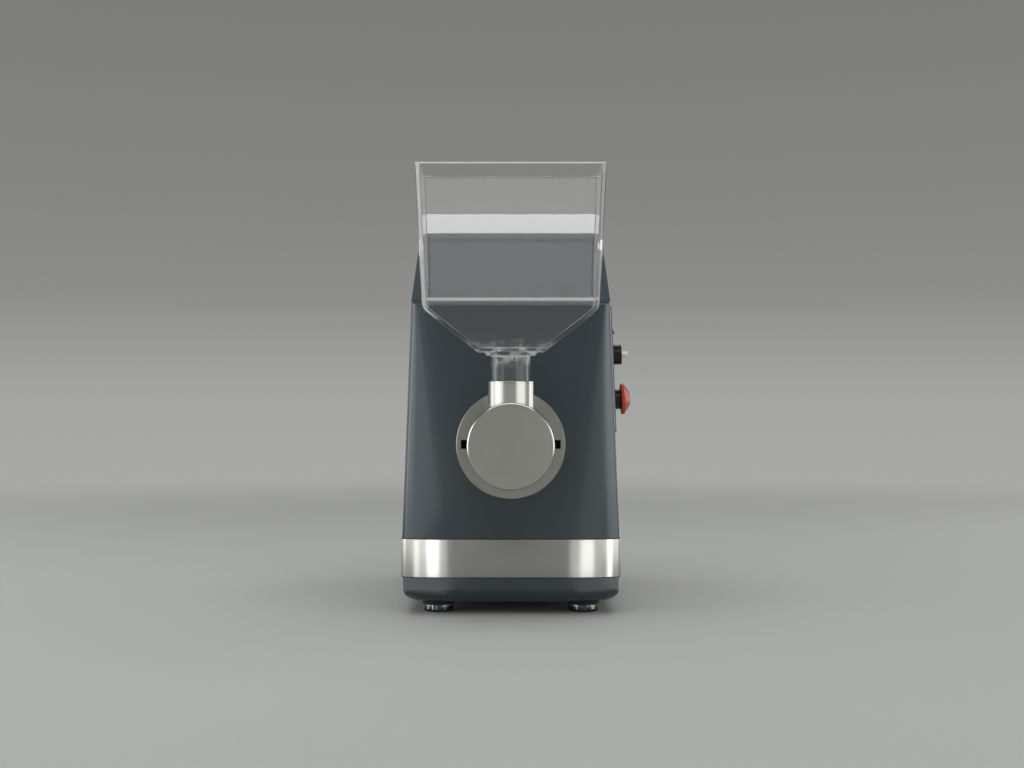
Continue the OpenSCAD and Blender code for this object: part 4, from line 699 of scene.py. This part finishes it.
def makeBand():
    # A strip bent round the body: the outline grown outwards, carried through a small cross
    # section with eased edges. Its map runs in metres along the strip and up it.
    e, t, z0, z1 = band["edge"], band["thick"], body["bandLow"], body["bandHigh"]
    section = [(0.02, z0), (t - e, z0), (t - 0.3 * e, z0 + 0.3 * e), (t, z0 + e), (t, (z0 + z1) / 2),
               (t, z1 - e), (t - 0.3 * e, z1 - 0.3 * e), (t - e, z1), (0.02, z1)]
    grid = bandLoops(section)
    around = grid[4, :, :2]  # the row half way up
    step = np.linalg.norm(np.diff(np.concatenate([around, around[:1]]), axis=0), axis=1)
    along = np.concatenate([[0], np.cumsum(step)]) * 0.001
    up = np.cumsum([0] + [math.dist(p, q) for p, q in zip(section[:-1], section[1:])]) * 0.001
    uv = np.stack(np.broadcast_arrays(along[None, :], up[:, None]), -1)
    uv = np.concatenate([uv, uv[:1]])
    newPiece("brushedBand", [patch(grid, closed=True, uv=uv)], bandSteel, "body", ["trim_band"],
             lampsFor=[banded])


shadeBead = {"high": 0.9, "thick": 0.9}


def makeShadeBeads():
    # Two thin black beads of rubber in the joints above and below the band: painted shade, standing
    # in for the thin shadow lines there. The same sweep with a small rounded section.
    h, t, patches = shadeBead["high"], shadeBead["thick"], []
    for z, way in ((body["bandLow"], -1), (body["bandHigh"], 1)):
        section = [(-0.3, z - 0.1 * way), (t, z - 0.1 * way), (t, z + 0.6 * h * way), (0.6 * t, z + h * way),
                   (-0.3, z + h * way)]
        patches.append(patch(bandLoops(section), closed=True))
    newPiece("bandShadowBeads", patches, blackRubber, "body")


makeShellSkin()
makeTraySkin()
makeBand()
makeShadeBeads()
print("body skins made")


# the seams' frost is partly a painted highlight: the left seam more than the right, as the light comes from
# the left
hopper = {"front": -82, "back": -12, "rim": 555, "rimWide": 229, "fold": 380, "foldWide": 212, "bottom": 329,
          "bottomWide": 81, "backFold": 397, "backLean": 19, "foldRadius": 14, "backRadius": 8, "sheet": 5,
          "tube": 47.5, "tubeWall": 3.5, "tubeEnd": 271.55, "tubeY": -40.1, "collar": 67, "collarHigh": 4.5,
          "eased": 0.5, "rimEased": 0.4, "foldFrost": (1.0, 1.9), "rimFrost": 0.9, "backRimFrost": 0.15,
          "litLeftSeam": 0.8, "dimRightSeam": 0.15, "jointFrost": 0.5, "throatGlue": 0.6, "collarGlue": 0.3}


def makeHopper():
    # One skin that goes down the outside, round the tube's end, up the inside and over the rim:
    # at every station a loop, four-sided in the box and round in the tube, whose points keep
    # their direction from the tube's axis. It carries how frosted and how smeared with glue each
    # point is: the fold, the rim, the seams of the side strips and the glued joints. The left
    # seam is frosted more than the right, a painted highlight of the light from the left.
    h, t, e, rim = hopper, hopper["sheet"], hopper["eased"], hopper["rim"]
    sideTilt = math.atan2((h["rimWide"] - h["foldWide"]) / 2, rim - h["fold"])
    funnel = math.atan2(h["fold"] - h["bottom"], (h["foldWide"] - h["bottomWide"]) / 2)
    lean = math.radians(h["backLean"])

    def halfLine(d):  # front view of one side, rim to bottom, set in by d
        turn = math.pi / 2 - sideTilt - funnel
        k, way = d / math.cos(turn / 2), funnel + math.pi / 2 + turn / 2
        return roundedLine([(h["rimWide"] / 2 - d / math.cos(sideTilt), rim),
                            (h["foldWide"] / 2 + k * math.cos(way), h["fold"] + k * math.sin(way)),
                            (h["bottomWide"] / 2 - d * math.tan(funnel / 2), h["bottom"] + d)],
                           [h["foldRadius"] - d], 10)

    def backLine(d):  # side view of the back, bottom to rim, set in by d
        top = h["back"] - d / math.cos(lean) + (rim - h["backFold"]) * math.tan(lean)
        return roundedLine([(h["back"] - d, h["bottom"]),
                            (h["back"] - d, h["backFold"] + d * math.tan(lean / 2)), (top, rim)],
                           [h["backRadius"] + d], 8)

    def boxLoop(half, front, back):  # 78 points: 31 across the front, 11 back, 25 across, 11 forward
        f, s, strip = np.linspace(0, 1, 25), np.linspace(0, 1, 11), np.array([0.3, 2.1, 2.4]) / half
        wide, deep, ahead = half - e, back - front - 2 * e, np.sort(np.concatenate([f, strip, 1 - strip]))
        return np.concatenate([
            np.stack([-wide + 2 * wide * ahead, np.full(len(ahead), front)], -1),
            np.stack([np.full(len(s), half), front + e + deep * s], -1),
            np.stack([wide - 2 * wide * f, np.full(len(f), back)], -1),
            np.stack([np.full(len(s), -half), back - e - deep * s], -1)])

    def wall(d):  # loops down the box, set in by d
        line, back = halfLine(d), backLine(d)
        zs = np.unique(np.concatenate([line[:, 1], back[:, 1], np.linspace(h["bottom"] + d, rim, 14),
                                       np.linspace(h["backFold"] - 5, h["backFold"] + 5, 21),
                                       rim - np.array([1.4, 1.5])]))[::-1]
        zs = zs[zs >= h["bottom"] + d - 1e-6]
        halves = np.interp(zs, line[::-1, 1], line[::-1, 0])
        backs = np.interp(zs, back[:, 1], back[:, 0])
        loops = [(boxLoop(a, h["front"] + d, b), z) for a, b, z in zip(halves, backs, zs)]
        return [(loops[0][0], rim - h["rimEased"])] + loops[1:]

    def rimLoop(s):  # the top edge, moved out by s
        return boxLoop(h["rimWide"] / 2 + s, h["front"] - s, backLine(0)[-1, 0] + s), rim

    outer, inner = wall(0), wall(t)
    aim = outer[-1][0] - [0, h["tubeY"]]
    angle = np.arctan2(aim[:, 1], aim[:, 0])

    def away(points):  # distance from the tube's axis
        return np.hypot(points[..., 0], points[..., 1] - h["tubeY"])

    def circle(r, z, stop=None):
        ring = np.stack([r * np.cos(angle), h["tubeY"] + r * np.sin(angle)], -1)
        if stop is not None:
            ring[:, 1] = np.minimum(ring[:, 1], stop)
        return ring, z

    ro, ri, end = h["tube"] / 2, h["tube"] / 2 - h["tubeWall"], h["tubeEnd"]
    under = h["bottom"] - h["collarHigh"]
    loops = (outer + [circle(h["collar"] / 2, h["bottom"], h["back"]),
                      circle(h["collar"] / 2 - 4, under, h["back"]), circle(ro + 0.8, under),
                      circle(ro, under - 0.8)]
             + [circle(ro, z) for z in np.linspace(under - 2, end + 0.5, 8)]
             + [circle(ro - 0.5, end), circle(ri + 0.5, end)]
             + [circle(ri, z) for z in np.linspace(end + 0.5, h["bottom"] + t - 1.2, 9)]
             + [circle(ri + 0.4, h["bottom"] + t - 0.4), circle(ri + 1.2, h["bottom"] + t)]
             + inner[::-1] + [rimLoop(h["rimEased"] - t), rimLoop(-h["rimEased"])])
    grid = np.stack([np.insert(ring, 2, z, axis=1) for ring, z in loops])
    z, y, fromAxis = grid[..., 2], grid[..., 1], away(grid)
    column = np.arange(grid.shape[1])
    onFront, onBack = column < 31, (column > 41) & (column < 67)
    litLeftSeam, dimRightSeam = (column == 1) | (column == 2), (column == 28) | (column == 29)
    share, width = h["foldFrost"]
    seam = np.where(litLeftSeam, h["litLeftSeam"], np.where(dimRightSeam, h["dimRightSeam"], 0.0))
    jointOutside = (np.abs(z - under + 0.4) < 0.6) & (fromAxis < ro + 1)
    jointInside = (np.abs(z - h["bottom"] - t + 0.2) < 0.4) & (fromAxis < ri + 2)
    frost = np.maximum.reduce([share * np.exp(-((z - h["backFold"] + 2.0) / width) ** 2) * onBack,
                               h["rimFrost"] * (z > rim - 1.45) * onFront,
                               h["backRimFrost"] * (z > rim - 0.2) * onBack,
                               seam * (y < h["front"] + 0.1) * (z > h["fold"] - 8),
                               h["jointFrost"] * (jointOutside | jointInside)])
    collar = (z < h["bottom"] + 0.1) & (z > under - 0.1) & (fromAxis > ro + 0.5)
    throat = np.exp(-((z - under + 4) / 6) ** 2) * (np.abs(fromAxis - ro) < 0.6)
    glue = np.maximum(h["throatGlue"] * throat, h["collarGlue"] * collar)
    frost = np.stack([frost, glue, np.zeros_like(glue)], -1)
    nodes = ["hopper_front_panel", "hopper_back_panel", "hopper_sides", "hopper_collar", "hopper_tube"]
    obj = newPiece("clearHopper", [patch(grid, closed=True)], acrylic, "hopper", nodes, 28,
                   frost)
    obj.visible_shadow = False


makeHopper()
print("hopper made")


def onHead(grid):  # turned about the head's axis: height along y
    return np.stack([grid[..., 0], grid[..., 2], headZ + grid[..., 1]], -1)


def onSide(y0, z0, lift=0.0):
    # Square to the right-hand wall at a height: local z points out of the wall
    rise = math.radians(90 - body["lean"])

    def place(grid):
        u, v, w = grid[..., 0], grid[..., 1], grid[..., 2] + lift
        return np.stack([halfWidth(z0) + u * math.cos(rise) + w * math.sin(rise), y0 + v,
                         z0 - u * math.sin(rise) + w * math.cos(rise)], -1)
    return place


def upright(x0, y0):  # turned about an upright axis at (x0, y0)
    return lambda grid: grid + np.array([x0, y0, 0.0])


cap = {"radius": 53, "front": -73, "back": -68.05, "rim": 3, "spigot": 46.95, "spigotDeep": 5, "wall": 5,
       "grooveDeep": 2.2}


def makeCap():
    # A lathe-turned disc: flat face, quarter-circle rim, straight edge, then the spigot behind it
    # with the groove for the sealing ring, as wide as the ring is thick
    c, seal = cap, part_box("cap_seal")
    front, back = ((v - drawingZero[1]) * 1000 for v in (seal[0][1], seal[1][1]))
    groove, inside = c["spigot"] - c["grooveDeep"], c["spigot"] - c["wall"]
    end = c["back"] + c["spigotDeep"] + 0.05
    line = roundedLine([(0, c["front"]), (c["radius"], c["front"]), (c["radius"], c["back"]),
                        (c["spigot"], c["back"]), (c["spigot"], front), (groove, front), (groove, back),
                        (c["spigot"], back), (c["spigot"], end), (inside, end), (inside, c["back"]),
                        (0, c["back"])],
                       [c["rim"], 0.3, 0.05, 0.05, 0.05, 0.05, 0.05, 0.4, 0.4, 0.3], 6)
    newPiece("headCap", [turnedPatch(line, onHead, 160)], capSteel, "cap", ["front_cap"],
             lampsFor=[rimmed])


inlet = {"outer": 27.8, "bore": 20.25, "seat": 24.05, "top": 293.5, "ledge": 271.5, "y": -40.1, "edge": 0.7,
         "head": 53, "steps": 144}


def makeInlet():
    # A tube whose lower end is cut to the round of the housing: at each angle its lowest points
    # lie at the housing's height over that x
    i = inlet
    lip = arcPoints((i["outer"] - i["edge"], i["top"] - i["edge"]), i["edge"], 0, 90, 5)
    mouth = arcPoints((i["seat"] + 0.5, i["top"] - 0.5), 0.5, 90, 180, 4)
    line = np.concatenate([[(i["outer"], z) for z in (0, 272, 280, 288)], lip, mouth,
                           [(i["seat"], 282), (i["seat"], i["ledge"]), (i["bore"], i["ledge"]),
                            (i["bore"], 0)]])
    angle = np.linspace(0, 2 * math.pi, i["steps"], endpoint=False)
    x, y = line[:, :1] * np.cos(angle), line[:, :1] * np.sin(angle)
    saddle = headZ + np.sqrt(i["head"] ** 2 - x ** 2)
    z = np.where(line[:, 1:] > 0, line[:, 1:], saddle)
    grid = np.stack([x, i["y"] + y, z], -1)
    newPiece("inletSteel", [patch(grid, closed=True)], tubeSteel, "body", ["inlet_tube"],
             lampsFor=[tubed])


mushroom = {"radius": 19.35, "ribHigh": 0.65, "ribs": 40, "rim": 4.2, "high": 11.8, "face": 7.8, "dish": 0.5,
            "crown": 0.5, "recess": (14.1, 5.5), "y": 76, "z": 270, "base": 13.1}


def makeMushroom():
    # Turned cap of the stop button: ribbed rim, slightly bulged cone, dished face, hollow under it.
    # The ribs are a flattened cosine round the rim.
    m, steps = mushroom, mushroom["ribs"] * 8
    share = np.linspace(0, 1, 9)
    cone = np.stack([m["radius"] - 0.5 + (m["face"] + 0.5 - m["radius"]) * share,
                     m["rim"] + 0.35 + (m["high"] - 0.2 - m["rim"] - 0.35) * share
                     + m["crown"] * np.sin(math.pi * share)], -1)
    face = np.stack([m["face"] - 0.2 - (m["face"] - 0.2) * share,
                     m["high"] - m["dish"] * np.sin(math.pi / 2 * share)], -1)
    deep = m["recess"]
    line = np.concatenate([[(0, deep[1]), (deep[0] - 0.4, deep[1]), (deep[0], deep[1] - 0.4), (deep[0], 0.3),
                            (deep[0] + 0.3, 0), (m["radius"] - 0.5, 0), (m["radius"], 0.5),
                            (m["radius"], m["rim"] - 0.5), (m["radius"] - 0.15, m["rim"])], cone, face])

    angle = np.linspace(0, 2 * math.pi, steps, endpoint=False)
    onRim = np.zeros((len(line), 1))
    onRim[6:8], onRim[8] = 1, 0.3  # along the rim, and fading out above it
    ribs = m["ribHigh"] * np.clip(0.5 + 0.9 * np.cos(m["ribs"] * angle), 0, 1) * onRim
    newPiece("stopMushroom", [turnedPatch(line, onSide(m["y"], m["z"], m["base"]), steps, ribs)],
             redPlastic, "stop_head", ["estop_head"], 22)


tip = {"radius": 3.65, "low": -17, "high": 24.2, "y": 76, "z": 328}


def makeTip():  # the white pin in the black housing, turned with a rounded end
    t = tip
    line = roundedLine([(0, t["low"]), (t["radius"], t["low"]), (t["radius"], t["high"]), (0, t["high"])],
                       [0.3, 1.2], 6)
    newPiece("resetTip", [turnedPatch(line, onSide(t["y"], t["z"]), 48)], whiteButton, "reset",
             ["reset_button"])


foot = {"radius": 19, "high": 9.3, "edge": 1.2, "low": 18.8, "top": 18.6, "widest": 0.42, "x": 92.9,
        "y": (46.5, 333.5)}


def makeFeet():
    # Four turned buttons: a flat tread with an eased edge, then a side that bulges like a barrel,
    # an arc through the lower edge, the widest ring and the upper edge
    f = foot
    z = np.linspace(f["edge"], f["high"], 13)
    middle = f["widest"] * f["high"]
    bulge = np.where(z < middle, (f["radius"] - f["low"]) * ((middle - z) / (middle - f["edge"])) ** 2,
                     (f["radius"] - f["top"]) * ((z - middle) / (f["high"] - middle)) ** 2)
    line = np.concatenate([[(0, 0), (f["low"] - f["edge"], 0), (f["low"] - 0.3 * f["edge"], 0.3 * f["edge"])],
                           np.stack([f["radius"] - bulge, z], -1), [(0, f["high"])]])
    newPiece("footCups", [turnedPatch(line, upright(x, y), 72) for x in (-f["x"], f["x"]) for y in f["y"]],
             shadowDarkNickel, "body", ["feet"], lampsFor=[footed])


makeCap()
makeInlet()
makeMushroom()
makeTip()
makeFeet()
print("head, buttons and feet made")
